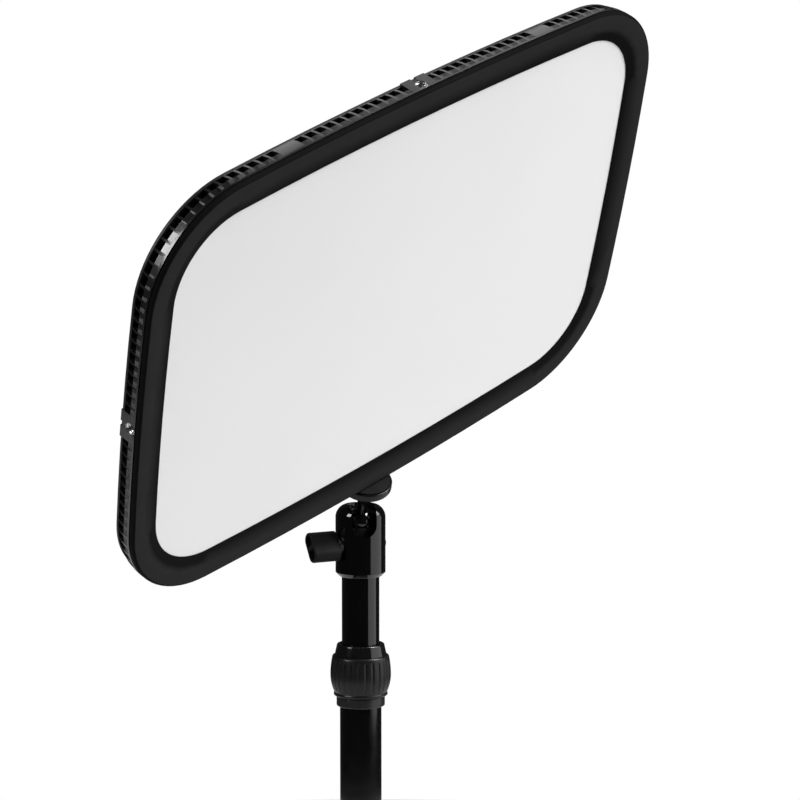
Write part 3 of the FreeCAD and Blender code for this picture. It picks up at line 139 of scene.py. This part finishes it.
# Each finish: its darkest and lightest colour, its range of roughness, and what differs from
# finish_material's own values
FINISHES = {
    "rim_black": dict(
        dark=(0.006, 0.006, 0.0065), light=(0.010, 0.010, 0.0105), rough=(0.2, 0.28), specular=0.9,
        grain=2600.0, grain_strength=0.2,
    ),
    "cover_black": dict(
        dark=(0.010, 0.010, 0.0105), light=(0.014, 0.014, 0.015), rough=(0.42, 0.55), grain=2600.0,
        grain_depth=0.04 * MM, grain_strength=0.6,
    ),
    "housing_black": dict(
        dark=(0.011, 0.011, 0.012), light=(0.016, 0.016, 0.017), rough=(0.45, 0.58), grain=2200.0,
        grain_depth=0.05 * MM, grain_strength=0.6,
    ),
    "head_black": dict(
        dark=(0.0012, 0.0012, 0.0013), light=(0.002, 0.002, 0.0021), rough=(0.07, 0.13),
        specular=0.5, grain=900.0, grain_strength=0.08,
    ),
    "tube_black": dict(
        dark=(0.0012, 0.0012, 0.0013), light=(0.002, 0.002, 0.0021), rough=(0.07, 0.12),
        specular=0.5, grain=700.0, grain_strength=0.06, stretch=(1.0, 1.0, 0.15),
    ),
    "stem_black": dict(
        dark=(0.002, 0.002, 0.0021), light=(0.004, 0.004, 0.0042), rough=(0.1, 0.18), specular=0.6,
        grain=1500.0, grain_strength=0.12,
    ),
    "disc_black": dict(
        dark=(0.002, 0.002, 0.0021), light=(0.004, 0.004, 0.0042), rough=(0.14, 0.22),
        specular=0.25, grain=1500.0, grain_strength=0.15,
    ),
    "knob_black": dict(
        dark=(0.007, 0.007, 0.0073), light=(0.011, 0.011, 0.0115), rough=(0.5, 0.6), specular=0.1,
        grain=2600.0, grain_depth=0.03 * MM, grain_strength=0.5,
    ),
    "collar_grey": dict(
        dark=(0.005, 0.005, 0.0053), light=(0.009, 0.009, 0.0094), rough=(0.28, 0.38),
        specular=0.3, grain=2600.0, grain_depth=0.03 * MM, grain_strength=0.5,
    ),
    "base_ring_black": dict(
        dark=(0.006, 0.006, 0.0063), light=(0.01, 0.01, 0.0105), rough=(0.24, 0.34), grain=2600.0,
        grain_depth=0.03 * MM, grain_strength=0.4,
    ),
    "ring_bright": dict(
        dark=(0.003, 0.003, 0.0031), light=(0.006, 0.006, 0.0063), rough=(0.08, 0.16),
        specular=0.6, grain=1500.0, grain_strength=0.08,
    ),
    "insert_steel": dict(
        dark=(0.62, 0.62, 0.63), light=(0.75, 0.75, 0.76), rough=(0.18, 0.3), metallic=1.0,
        grain=3000.0, grain_strength=0.2,
    ),
    "screw_black": dict(
        dark=(0.012, 0.012, 0.012), light=(0.02, 0.02, 0.02), rough=(0.3, 0.42), metallic=0.6,
        grain=3500.0, grain_strength=0.3,
    ),
    "screw_steel": dict(
        dark=(0.55, 0.55, 0.56), light=(0.68, 0.68, 0.68), rough=(0.25, 0.38), metallic=1.0,
        grain=3500.0, grain_strength=0.3,
    ),
    "bush_black": dict(
        dark=(0.008, 0.008, 0.008), light=(0.013, 0.013, 0.013), rough=(0.25, 0.35), metallic=0.3,
        grain=3000.0, grain_strength=0.2,
    ),
    "pad_rubber": dict(
        dark=(0.004, 0.004, 0.004), light=(0.007, 0.007, 0.007), rough=(0.7, 0.85), specular=0.2,
        grain=2200.0, grain_depth=0.04 * MM, grain_strength=0.6,
    ),
    "tray_aluminium": dict(
        dark=(0.66, 0.67, 0.68), light=(0.76, 0.77, 0.78), rough=(0.3, 0.45), metallic=1.0,
        grain=900.0, grain_strength=0.3, stretch=(0.08, 1.0, 1.0),
    ),
    "plug_aluminium": dict(
        dark=(0.2, 0.2, 0.21), light=(0.28, 0.28, 0.29), rough=(0.28, 0.4), metallic=1.0,
        grain=2500.0, grain_strength=0.25,
    ),
    "plunger_brass": dict(
        dark=(0.6, 0.44, 0.18), light=(0.72, 0.55, 0.26), rough=(0.22, 0.35), metallic=1.0,
        grain=3000.0, grain_strength=0.25,
    ),
    "pin_brass": dict(
        dark=(0.66, 0.5, 0.22), light=(0.76, 0.6, 0.3), rough=(0.16, 0.26), metallic=1.0,
        grain=3000.0, grain_strength=0.2,
    ),
    "shield_steel": dict(
        dark=(0.6, 0.61, 0.62), light=(0.7, 0.71, 0.72), rough=(0.25, 0.35), metallic=1.0,
        grain=2500.0, grain_strength=0.25,
    ),
    "film_white": dict(
        dark=(0.84, 0.84, 0.84), light=(0.88, 0.88, 0.88), rough=(0.5, 0.6), grain=2000.0,
    ),
    "reflector_white": dict(
        dark=(0.88, 0.88, 0.88), light=(0.92, 0.92, 0.92), rough=(0.4, 0.5), grain=2000.0,
    ),
    "guide_clear": dict(
        dark=(0.8, 0.86, 0.88), light=(0.84, 0.9, 0.92), rough=(0.06, 0.12), grain=900.0,
        grain_strength=0.1,
    ),
    "strip_white": dict(
        dark=(0.78, 0.78, 0.75), light=(0.84, 0.84, 0.81), rough=(0.35, 0.45), grain=2500.0,
    ),
    "chip_warm": dict(
        dark=(0.78, 0.5, 0.08), light=(0.88, 0.6, 0.14), rough=(0.2, 0.3), grain=6000.0,
    ),
    "chip_cool": dict(
        dark=(0.85, 0.78, 0.3), light=(0.9, 0.84, 0.4), rough=(0.2, 0.3), grain=6000.0,
    ),
    "board_green": dict(
        dark=(0.015, 0.12, 0.05), light=(0.03, 0.18, 0.08), rough=(0.3, 0.4), grain=2500.0,
    ),
    "choke_copper": dict(
        dark=(0.5, 0.2, 0.08), light=(0.65, 0.3, 0.12), rough=(0.25, 0.4), metallic=0.8,
        grain=1800.0, grain_strength=0.6,
    ),
    "capacitor_sleeve": dict(
        dark=(0.03, 0.035, 0.09), light=(0.04, 0.045, 0.12), rough=(0.25, 0.35), grain=2500.0,
    ),
    "chip_black": dict(
        dark=(0.015, 0.015, 0.015), light=(0.022, 0.022, 0.022), rough=(0.5, 0.6), grain=5000.0,
    ),
    "socket_white": dict(
        dark=(0.74, 0.72, 0.65), light=(0.8, 0.78, 0.7), rough=(0.4, 0.5), grain=2500.0,
    ),
    "ribbon_grey": dict(
        dark=(0.3, 0.3, 0.31), light=(0.38, 0.38, 0.39), rough=(0.45, 0.55), grain=1500.0,
        stretch=(1.0, 1.0, 0.1),
    ),
    "jack_black": dict(
        dark=(0.01, 0.01, 0.01), light=(0.014, 0.014, 0.014), rough=(0.25, 0.35), grain=3000.0,
    ),
    "switch_black": dict(
        dark=(0.012, 0.012, 0.012), light=(0.016, 0.016, 0.016), rough=(0.3, 0.4), grain=3000.0,
    ),
    "rocker_black": dict(
        dark=(0.012, 0.012, 0.012), light=(0.016, 0.016, 0.016), rough=(0.22, 0.32), grain=3000.0,
    ),
    "seat_nylon": dict(
        dark=(0.012, 0.012, 0.012), light=(0.018, 0.018, 0.018), rough=(0.4, 0.5), grain=2500.0,
    ),
    "bushing_nylon": dict(
        dark=(0.02, 0.02, 0.02), light=(0.03, 0.03, 0.03), rough=(0.45, 0.55), grain=2500.0,
    ),
}
MATERIALS = {name: finish_material(name, **finish) for name, finish in FINISHES.items()}


def opal_material():
    """The opal plate: satin white, with faint clouds and a fine grain."""
    material, nodes, links, shader = new_material("diffuser_opal")
    clouds = noise(nodes, links, 9.0, 2.0)
    links.new(
        colour_mix(nodes, links, clouds, (0.80, 0.80, 0.80), (0.84, 0.84, 0.84)),
        shader.inputs["Base Color"],
    )
    haze = noise(nodes, links, 30.0, 3.0)
    links.new(spread(nodes, links, haze, 0.46, 0.54), shader.inputs["Roughness"])
    shader.inputs["Specular IOR Level"].default_value = 0.35
    fine = noise(nodes, links, 2600.0, 2.0)
    bump(nodes, links, fine, 0.25, 0.02 * MM, shader)
    return material


# How squarely a bezel face looks along the panel's normal before it takes the slope's painted
# shade, a darker base colour, and from where it has the flat band's own colour
BEZEL_FULL_SHADE_FACING = 0.975
BEZEL_NO_SHADE_FACING = 0.995


def bezel_material():
    """Satin black, with painted shade: the slope inside the flat band gets a darker base colour,
    picked by how far its normal turns from the panel's normal.
    """
    material, nodes, links, shader = new_material("bezel_black")
    coordinates = nodes.new("ShaderNodeTexCoord")
    facing = nodes.new("ShaderNodeVectorMath")
    facing.operation = "DOT_PRODUCT"
    facing.inputs[1].default_value = panel_n
    links.new(coordinates.outputs["Normal"], facing.inputs[0])
    facing_shade_mask = nodes.new("ShaderNodeMapRange")
    facing_shade_mask.inputs["From Min"].default_value = BEZEL_FULL_SHADE_FACING
    facing_shade_mask.inputs["From Max"].default_value = BEZEL_NO_SHADE_FACING
    links.new(facing.outputs["Value"], facing_shade_mask.inputs["Value"])
    clouds = noise(nodes, links, 35.0, 3.0)
    flat_colour = colour_mix(nodes, links, clouds, (0.019, 0.019, 0.0197), (0.025, 0.025, 0.026))
    # Painted shade: faces turned away from the panel's normal take a near-black base colour,
    # standing in for the darker light on the slope
    painted_slope_shade = nodes.new("ShaderNodeMix")
    painted_slope_shade.data_type = "RGBA"
    painted_slope_shade.inputs[6].default_value = (0.0065, 0.0065, 0.0068, 1.0)
    links.new(facing_shade_mask.outputs["Result"], painted_slope_shade.inputs[0])
    links.new(flat_colour, painted_slope_shade.inputs[7])
    links.new(painted_slope_shade.outputs[2], shader.inputs["Base Color"])
    smudges = noise(nodes, links, 80.0, 5.0)
    links.new(spread(nodes, links, smudges, 0.46, 0.56), shader.inputs["Roughness"])
    shader.inputs["Specular IOR Level"].default_value = 0.01
    fine = noise(nodes, links, 3200.0, 2.0)
    bump(nodes, links, fine, 0.5, 0.03 * MM, shader)
    return material


MATERIALS["bezel_black"] = bezel_material()
MATERIALS["diffuser_opal"] = opal_material()

slot_of = {part["node"]: part["material_slot"] for part in record["subparts"]}
for node, thing in frame["nodes"].items():
    material = MATERIALS[slot_of[node]]
    if thing.data.materials:
        for index in range(len(thing.data.materials)):
            thing.material_slots[index].material = material
    else:
        thing.data.materials.append(material)

# ------------------------------------------------------------------ softened edges


WELD_DISTANCE = 0.002 * MM
SHARP_EDGE = math.radians(32.0)


def soften(node, width):
    """Round a CAD node's sharp edges by a small width, without moving its faces."""
    thing = frame["nodes"][node]
    weld = thing.modifiers.new("weld", "WELD")
    weld.merge_threshold = WELD_DISTANCE
    bevel = thing.modifiers.new("edges", "BEVEL")
    bevel.width = width
    bevel.segments = 2
    bevel.limit_method = "ANGLE"
    bevel.angle_limit = SHARP_EDGE
    bevel.harden_normals = False
    bevel.use_clamp_overlap = True
    normals = thing.modifiers.new("normals", "WEIGHTED_NORMAL")
    normals.keep_sharp = False


# ------------------------------------------------------------------ detailed pieces


def add_piece(name, builder, body, slot, stands_for, smooth_angle):
    """Turn a finished bmesh into a piece that rides on a CAD body."""
    bmesh.ops.recalc_face_normals(builder, faces=builder.faces)
    mesh = bpy.data.meshes.new(name)
    builder.to_mesh(mesh)
    builder.free()
    mesh.polygons.foreach_set("use_smooth", [True] * len(mesh.polygons))
    mesh.set_sharp_from_angle(angle=math.radians(smooth_angle))
    mesh.materials.append(MATERIALS[slot])
    piece = bpy.data.objects.new(name, mesh)
    bpy.context.collection.objects.link(piece)
    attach(piece, body)
    if stands_for:
        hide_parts(*stands_for)


def ring_grid(builder, rings, closed):
    """Join rings of points into quads. A closed grid also joins the last ring to the first."""
    rows = [[builder.verts.new(point) for point in ring] for ring in rings]
    count = len(rows)
    for index in range(count if closed else count - 1):
        lower = rows[index]
        upper = rows[(index + 1) % count]
        size = len(lower)
        for step in range(size):
            builder.faces.new(
                (lower[step], lower[(step + 1) % size], upper[(step + 1) % size], upper[step])
            )
    return rows


def frame_along(origin, direction):
    """A frame whose z axis points along a direction."""
    turn = Vector(direction).to_track_quat("Z", "Y").to_matrix().to_4x4()
    return Matrix.Translation(Vector(origin)) @ turn


# ---- grip collar: a barrel with long grooves that run out before its ends

COLLAR_GROOVES = 26
POINTS_PER_GROOVE = 14
BARREL_STEPS = 30
GROOVE_DEPTH = 0.42 * MM
GROOVE_RUN_OUT = 1.4 * MM
# As a share of the way from one groove to the next
GROOVE_HALF_WIDTH = 0.17

# How far the collar's other circles are inside its belly, and how far its corners are rounded
SHOULDER_INSIDE_BELLY = 1.0 * MM
WAIST_INSIDE_BELLY = 2.1 * MM
LIP_INSIDE_BELLY = 1.8 * MM
COLLAR_BORE_RADIUS = 12.35 * MM
BELLY_ABOVE_BOTTOM = 11.1 * MM
WAIST_ABOVE_BOTTOM = 1.9 * MM
SHOULDER_BELOW_TOP = 0.7 * MM
LIP_CHAMFER = 0.45 * MM


def grip_collar():
    low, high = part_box("twist_collar")
    bottom = low[2]
    top = high[2]
    bore = COLLAR_BORE_RADIUS
    belly_radius = (high[0] - low[0]) / 2
    shoulder_radius = belly_radius - SHOULDER_INSIDE_BELLY
    waist_radius = belly_radius - WAIST_INSIDE_BELLY
    lip_radius = belly_radius - LIP_INSIDE_BELLY
    waist_z = bottom + WAIST_ABOVE_BOTTOM
    shoulder_z = top - SHOULDER_BELOW_TOP
    belly_z = bottom + BELLY_ABOVE_BOTTOM
    profile = [
        (bore, bottom),
        (lip_radius - LIP_CHAMFER, bottom),
        (lip_radius, bottom + LIP_CHAMFER),
        (lip_radius, bottom + 1.4 * MM),
        (waist_radius, bottom + 1.75 * MM),
    ]
    for step in range(BARREL_STEPS + 1):
        z = waist_z + (shoulder_z - waist_z) * step / BARREL_STEPS
        if z < belly_z:
            t = (belly_z - z) / (belly_z - waist_z)
            radius = belly_radius - (belly_radius - waist_radius) * t**2
        else:
            t = (z - belly_z) / (shoulder_z - belly_z)
            radius = belly_radius - (belly_radius - shoulder_radius) * t**2
        profile.append((radius, z))
    profile += [
        (shoulder_radius - 0.25 * MM, top - 0.2 * MM),
        (shoulder_radius - 0.75 * MM, top),
        (bore, top),
    ]
    around_count = COLLAR_GROOVES * POINTS_PER_GROOVE
    groove_low = waist_z + 1.6 * MM
    groove_high = shoulder_z - 1.3 * MM
    rings = []
    for radius, z in profile:
        fade = min(1.0, max(0.0, min(z - groove_low, groove_high - z) / GROOVE_RUN_OUT))
        fade = math.sin(fade * math.pi / 2)
        ring = []
        for index in range(around_count):
            angle = 2 * math.pi * index / around_count
            across = (index % POINTS_PER_GROOVE) / POINTS_PER_GROOVE - 0.5
            bite = math.exp(-((across / GROOVE_HALF_WIDTH) ** 4))
            depth = GROOVE_DEPTH * bite * fade if radius > bore + 0.1 * MM else 0.0
            reach = radius - depth
            ring.append((reach * math.cos(angle), reach * math.sin(angle), z))
        rings.append(ring)
    builder = bmesh.new()
    ring_grid(builder, rings, closed=True)
    add_piece("grip_collar", builder, "collar", "collar_grey", ("twist_collar",), 50.0)


# ---- threads: a wall with a real helix on its inside


QUARTER_INCH_PITCH = 1.27 * MM
INSERT_OUTER_RADIUS = 3.08 * MM
THREE_EIGHTHS_PITCH = 1.5875 * MM
FOOT_THREAD_PITCH_RADIUS = 4.0 * MM
FOOT_THREAD_OUTER_RADIUS = 4.255 * MM
THREAD_POINTS_AROUND = 40
THREAD_ROWS_PER_TURN = 12
THREAD_DEPTH_SHARE = 0.27


def inner_thread(name, origin, direction, length, outer, pitch_radius, pitch, body, slot, nodes):
    """A thin bush whose inner wall carries a thread. The origin is the middle of its length."""
    depth = pitch * THREAD_DEPTH_SHARE
    around_count = THREAD_POINTS_AROUND
    rows = int(length / pitch * THREAD_ROWS_PER_TURN)
    place = frame_along(origin, direction)
    inner_rings = []
    for row in range(rows + 1):
        along = -length / 2 + length * row / rows
        ring = []
        for index in range(around_count):
            turn = index / around_count
            wave = (along / pitch - turn) % 1.0
            ridge = 1.0 - abs(2.0 * wave - 1.0) * 2.0
            end_fade = min(1.0, (length / 2 - abs(along)) / (0.6 * pitch))
            radius = pitch_radius - depth * max(-1.0, min(0.8, ridge * 1.3)) * end_fade
            angle = 2 * math.pi * turn
            ring.append(place @ Vector((radius * math.cos(angle), radius * math.sin(angle), along)))
        inner_rings.append(ring)
    outer_rings = []
    for along in (length / 2, -length / 2):
        ring = []
        for index in range(around_count):
            angle = 2 * math.pi * index / around_count
            ring.append(place @ Vector((outer * math.cos(angle), outer * math.sin(angle), along)))
        outer_rings.append(ring)
    builder = bmesh.new()
    ring_grid(builder, inner_rings + outer_rings, closed=True)
    add_piece(name, builder, body, slot, nodes, 30.0)


# ---- screws: heads with a cross recess, found from the CAD node's own islands


def screw_places(node):
    """The centre of each screw in a node, with its lowest point along the panel's normal."""
    builder = bmesh.new()
    builder.from_mesh(frame["nodes"][node].data)
    bmesh.ops.remove_doubles(builder, verts=builder.verts, dist=0.000001)
    todo = set(builder.verts)
    inverse = PANEL.inverted()
    places = []
    while todo:
        island = {todo.pop()}
        edge = list(island)
        while edge:
            vert = edge.pop()
            for link in vert.link_edges:
                other = link.other_vert(vert)
                if other in todo:
                    todo.discard(other)
                    island.add(other)
                    edge.append(other)
        points = [inverse @ vert.co for vert in island]
        x = (min(p.x for p in points) + max(p.x for p in points)) / 2
        y = (min(p.y for p in points) + max(p.y for p in points)) / 2
        back = min(p.z for p in points)
        front = max(p.z for p in points)
        places.append((round(x, 6), round(y, 6), back, front))
    builder.free()
    return sorted(places)


# A head's mesh, and its cross recess as shares of the head's radius and height
HEAD_POINTS_AROUND = 56
HEAD_RINGS = 16
CROSS_REACH = 0.58
CROSS_HALF_WIDTH = 0.15
CROSS_DEPTH = 0.55
CROSS_WALL = 0.25 * MM
LEAST_PAN_DOME = 0.3 * MM


def cross_depth(x, y, reach, half_width):
    """How deep a cross recess is at a point, from 0 to 1, with sloped walls."""

    def inside(value, limit, slope):
        return min(1.0, max(0.0, (limit - abs(value)) / slope))

    first = min(inside(x, reach, CROSS_WALL), inside(y, half_width, CROSS_WALL * 0.5))
    second = min(inside(y, reach, CROSS_WALL), inside(x, half_width, CROSS_WALL * 0.5))
    return max(first, second)


def screw_set(name, node, head_radius, head_height, dome, shank_radius, turn_step):
    """Screws with a domed or flat head and a cross recess, standing where the CAD's are."""
    builder = bmesh.new()
    around_count = HEAD_POINTS_AROUND
    reach = head_radius * CROSS_REACH
    half_width = head_radius * CROSS_HALF_WIDTH
    for number, (x, y, back, front) in enumerate(screw_places(node)):
        turn = Matrix.Rotation(turn_step * number, 4, "Z")
        # The head faces the back, so its own z axis points against the panel's normal
        place = PANEL @ Matrix.Translation((x, y, back)) @ Matrix.Rotation(math.pi, 4, "X") @ turn
        rings = []
        for ring_index in range(HEAD_RINGS, 0, -1):
            share = ring_index / HEAD_RINGS
            ring = []
            for index in range(around_count):
                angle = 2 * math.pi * index / around_count
                px = head_radius * share * math.cos(angle)
                py = head_radius * share * math.sin(angle)
                crown = dome * share**4
                bite = cross_depth(px, py, reach, half_width)
                ring.append(place @ Vector((px, py, -crown - bite * head_height * CROSS_DEPTH)))
            rings.append(ring)
        seat = []
        tip = []
        for index in range(around_count):
            angle = 2 * math.pi * index / around_count
            side = Vector((math.cos(angle), math.sin(angle), 0.0))
            seat.append(place @ (side * shank_radius + Vector((0, 0, -head_height))))
            tip.append(place @ (side * shank_radius + Vector((0, 0, back - front))))
        rim = []
        if dome > LEAST_PAN_DOME:
            for index in range(around_count):
                angle = 2 * math.pi * index / around_count
                side = Vector((math.cos(angle), math.sin(angle), 0.0))
                rim.append(place @ (side * head_radius + Vector((0, 0, -head_height))))
        stack = [tip, seat] + ([rim] if rim else []) + rings
        rows = ring_grid(builder, stack, closed=False)
        middle = builder.verts.new(place @ Vector((0, 0, -head_height * CROSS_DEPTH)))
        last = rows[-1]
        for index in range(around_count):
            builder.faces.new((last[index], last[(index + 1) % around_count], middle))
        builder.faces.new(rows[0][::-1])
    add_piece(name, builder, "panel", "screw_black", (node,), 35.0)


grip_collar()
for side in ("top", "left", "right"):
    hole = mounts["accessory_" + side]
    inner_thread(
        "thread_" + side, hole["pos_m"], hole["axis"], hole["dims"]["length_mm"] * MM,
        INSERT_OUTER_RADIUS, hole["dims"]["r_mm"] * MM, QUARTER_INCH_PITCH, "panel",
        "insert_steel", ("insert_" + side,),
    )

# The foot's thread starts a little inside the socket's mouth and ends short of its floor
FOOT_MOUTH_GAP = 0.4 * MM
FOOT_THREAD_SHORTER = 1.2 * MM
foot = mounts["pole_foot"]
foot_length = foot["dims"]["length_mm"] * MM
inner_thread(
    "foot_thread", Vector(foot["pos_m"]) + Vector((0, 0, foot_length / 2 + FOOT_MOUTH_GAP)),
    (0, 0, 1), foot_length - FOOT_THREAD_SHORTER, FOOT_THREAD_OUTER_RADIUS,
    FOOT_THREAD_PITCH_RADIUS, THREE_EIGHTHS_PITCH, "lower_pole", "plug_aluminium", (),
)

# Each set: its piece, its node, the head's radius, height and dome and the shank's radius in
# millimetres, and how far each screw's recess is turned past the one before it
for name, node, head_radius, head_height, dome, shank_radius, turn_step in (
    ("cover_screw_heads", "cover_screws", 2.2, 1.2, 0.05, 1.0, 0.7),
    ("tray_screw_heads", "tray_screws", 3.0, 1.6, 0.7, 1.5, 1.1),
    ("housing_screw_heads", "housing_screws", 2.9, 1.9, 0.7, 1.5, 0.9),
):
    screw_set(
        name, node, head_radius * MM, head_height * MM, dome * MM, shank_radius * MM, turn_step
    )

# The width of each node's softened edges, in millimetres
for node, width in (
    ("front_bezel", 0.25), ("housing_rim", 0.2), ("rear_cover", 0.2),
    ("electronics_housing", 0.3), ("ball_head_housing", 0.4), ("lock_knob", 0.4),
    ("knob_bush", 0.2), ("upper_tube", 0.2), ("lower_tube", 0.2), ("foot_plug", 0.3),
    ("dc_jack", 0.2), ("power_switch_body", 0.2), ("power_switch_rocker", 0.3),
    ("lock_disc", 0.2), ("disc_pad", 0.1), ("collar_base_ring", 0.2),
    ("collar_trim_ring", 0.2), ("guide_screw", 0.1),
):
    soften(node, width * MM)

# ------------------------------------------------------------------ studio

FLOOR_DROP = 0.5 * MM
FLOOR_SIDES = 128
# The background as the camera sees it, and the much dimmer light it gives to the object
SEEN_BACKGROUND = 1.0
BACKGROUND_LIGHT = 0.03
SUN_DIRECTION = Vector((0.3, -0.6, 0.74))
SUN_STRENGTH = 3.3
SUN_SPREAD = math.radians(20.0)
CAMERA_LENS = 135.05
CAMERA_SENSOR = 36.0
CAMERA_HEADING = math.radians(-52.584)
CAMERA_LIFT = math.radians(6.0)
CAMERA_FROM_PANEL = Vector((-1.18525, -0.90558, 0.10544))


def area_light(name, place, aim, size, power):
    data = bpy.data.lights.new(name, "AREA")
    data.shape = "RECTANGLE"
    data.size = size[0]
    data.size_y = size[1]
    data.energy = power
    light = bpy.data.objects.new(name, data)
    bpy.context.collection.objects.link(light)
    light.location = place
    light.rotation_mode = "QUATERNION"
    light.rotation_quaternion = (Vector(aim) - Vector(place)).to_track_quat("-Z", "Y")
    return light


def round_floor(radius):
    mesh = bpy.data.meshes.new("studio_floor")
    corners = []
    for index in range(FLOOR_SIDES):
        angle = 2 * math.pi * index / FLOOR_SIDES
        corners.append((radius * math.cos(angle), radius * math.sin(angle), -FLOOR_DROP))
    mesh.from_pydata(corners, [], [tuple(range(FLOOR_SIDES))])
    floor = bpy.data.objects.new("studio_floor", mesh)
    bpy.context.collection.objects.link(floor)
    mesh.materials.append(
        finish_material(
            "floor_white", (0.62, 0.62, 0.62), (0.65, 0.65, 0.65), (0.7, 0.8), specular=0.1,
            grain=300.0, grain_strength=0.05, cloud=1.5,
        )
    )
    return floor


round_floor(0.95)

world = bpy.data.worlds.new("studio_world")
bpy.context.scene.world = world
world.use_nodes = True
world_nodes = world.node_tree.nodes
world_links = world.node_tree.links
seen = world_nodes["Background"]
seen.inputs["Color"].default_value = (1.0, 1.0, 1.0, 1.0)
seen.inputs["Strength"].default_value = SEEN_BACKGROUND
dim = world_nodes.new("ShaderNodeBackground")
dim.inputs["Color"].default_value = (1.0, 1.0, 1.0, 1.0)
dim.inputs["Strength"].default_value = BACKGROUND_LIGHT
paths = world_nodes.new("ShaderNodeLightPath")
choose = world_nodes.new("ShaderNodeMixShader")
world_links.new(paths.outputs["Is Camera Ray"], choose.inputs[0])
world_links.new(dim.outputs[0], choose.inputs[1])
world_links.new(seen.outputs[0], choose.inputs[2])
world_links.new(choose.outputs[0], world_nodes["World Output"].inputs["Surface"])


def around(turn, lift, distance):
    """A point seen from the panel, turned from the camera to its right and lifted above level."""
    towards_camera = Vector((math.sin(CAMERA_HEADING), -math.cos(CAMERA_HEADING), 0.0))
    turned = Matrix.Rotation(math.radians(turn), 3, "Z") @ towards_camera
    level = math.cos(math.radians(lift))
    offset = Vector((turned.x * level, turned.y * level, math.sin(math.radians(lift))))
    return panel_centre + offset * distance


sun_data = bpy.data.lights.new("overhead_sun", "SUN")
sun_data.energy = SUN_STRENGTH
sun_data.angle = SUN_SPREAD
sun = bpy.data.objects.new("overhead_sun", sun_data)
bpy.context.collection.objects.link(sun)
sun.rotation_mode = "QUATERNION"
sun.rotation_quaternion = SUN_DIRECTION.to_track_quat("Z", "Y")

# Each softbox: its name, its place, the point it faces, its width and height, and its power
for name, place, aim, size, power in (
    ("left_softbox", around(-60.0, 24.0, 2.2), panel_centre, (0.7, 0.8), 22.0),
    (
        "front_softbox", panel_centre + panel_n * 1.1 + panel_x * 0.75 + panel_y * 0.1,
        panel_centre, (1.6, 0.7), 4.8,
    ),
    (
        "high_softbox", panel_centre + Vector((0.75, -0.9, 0.5)),
        panel_centre + panel_x * 0.1, (0.8, 0.6), 8.5,
    ),
    (
        "top_softbox", panel_centre + Vector((0.45, 0.33, 0.83)) * 1.2,
        panel_centre, (0.7, 0.7), 1.7,
    ),
):
    area_light(name, place, aim, size, power)

camera_data = bpy.data.cameras.new("camera")
camera_data.lens = CAMERA_LENS
camera_data.sensor_width = CAMERA_SENSOR
camera_data.clip_start = 0.1
camera_data.clip_end = 50.0
camera = bpy.data.objects.new("camera", camera_data)
bpy.context.collection.objects.link(camera)
camera.location = panel_centre + CAMERA_FROM_PANEL
camera.rotation_euler = (math.pi / 2 - CAMERA_LIFT, 0.0, CAMERA_HEADING)
bpy.context.scene.camera = camera
bpy.context.scene.view_settings.view_transform = "Standard"
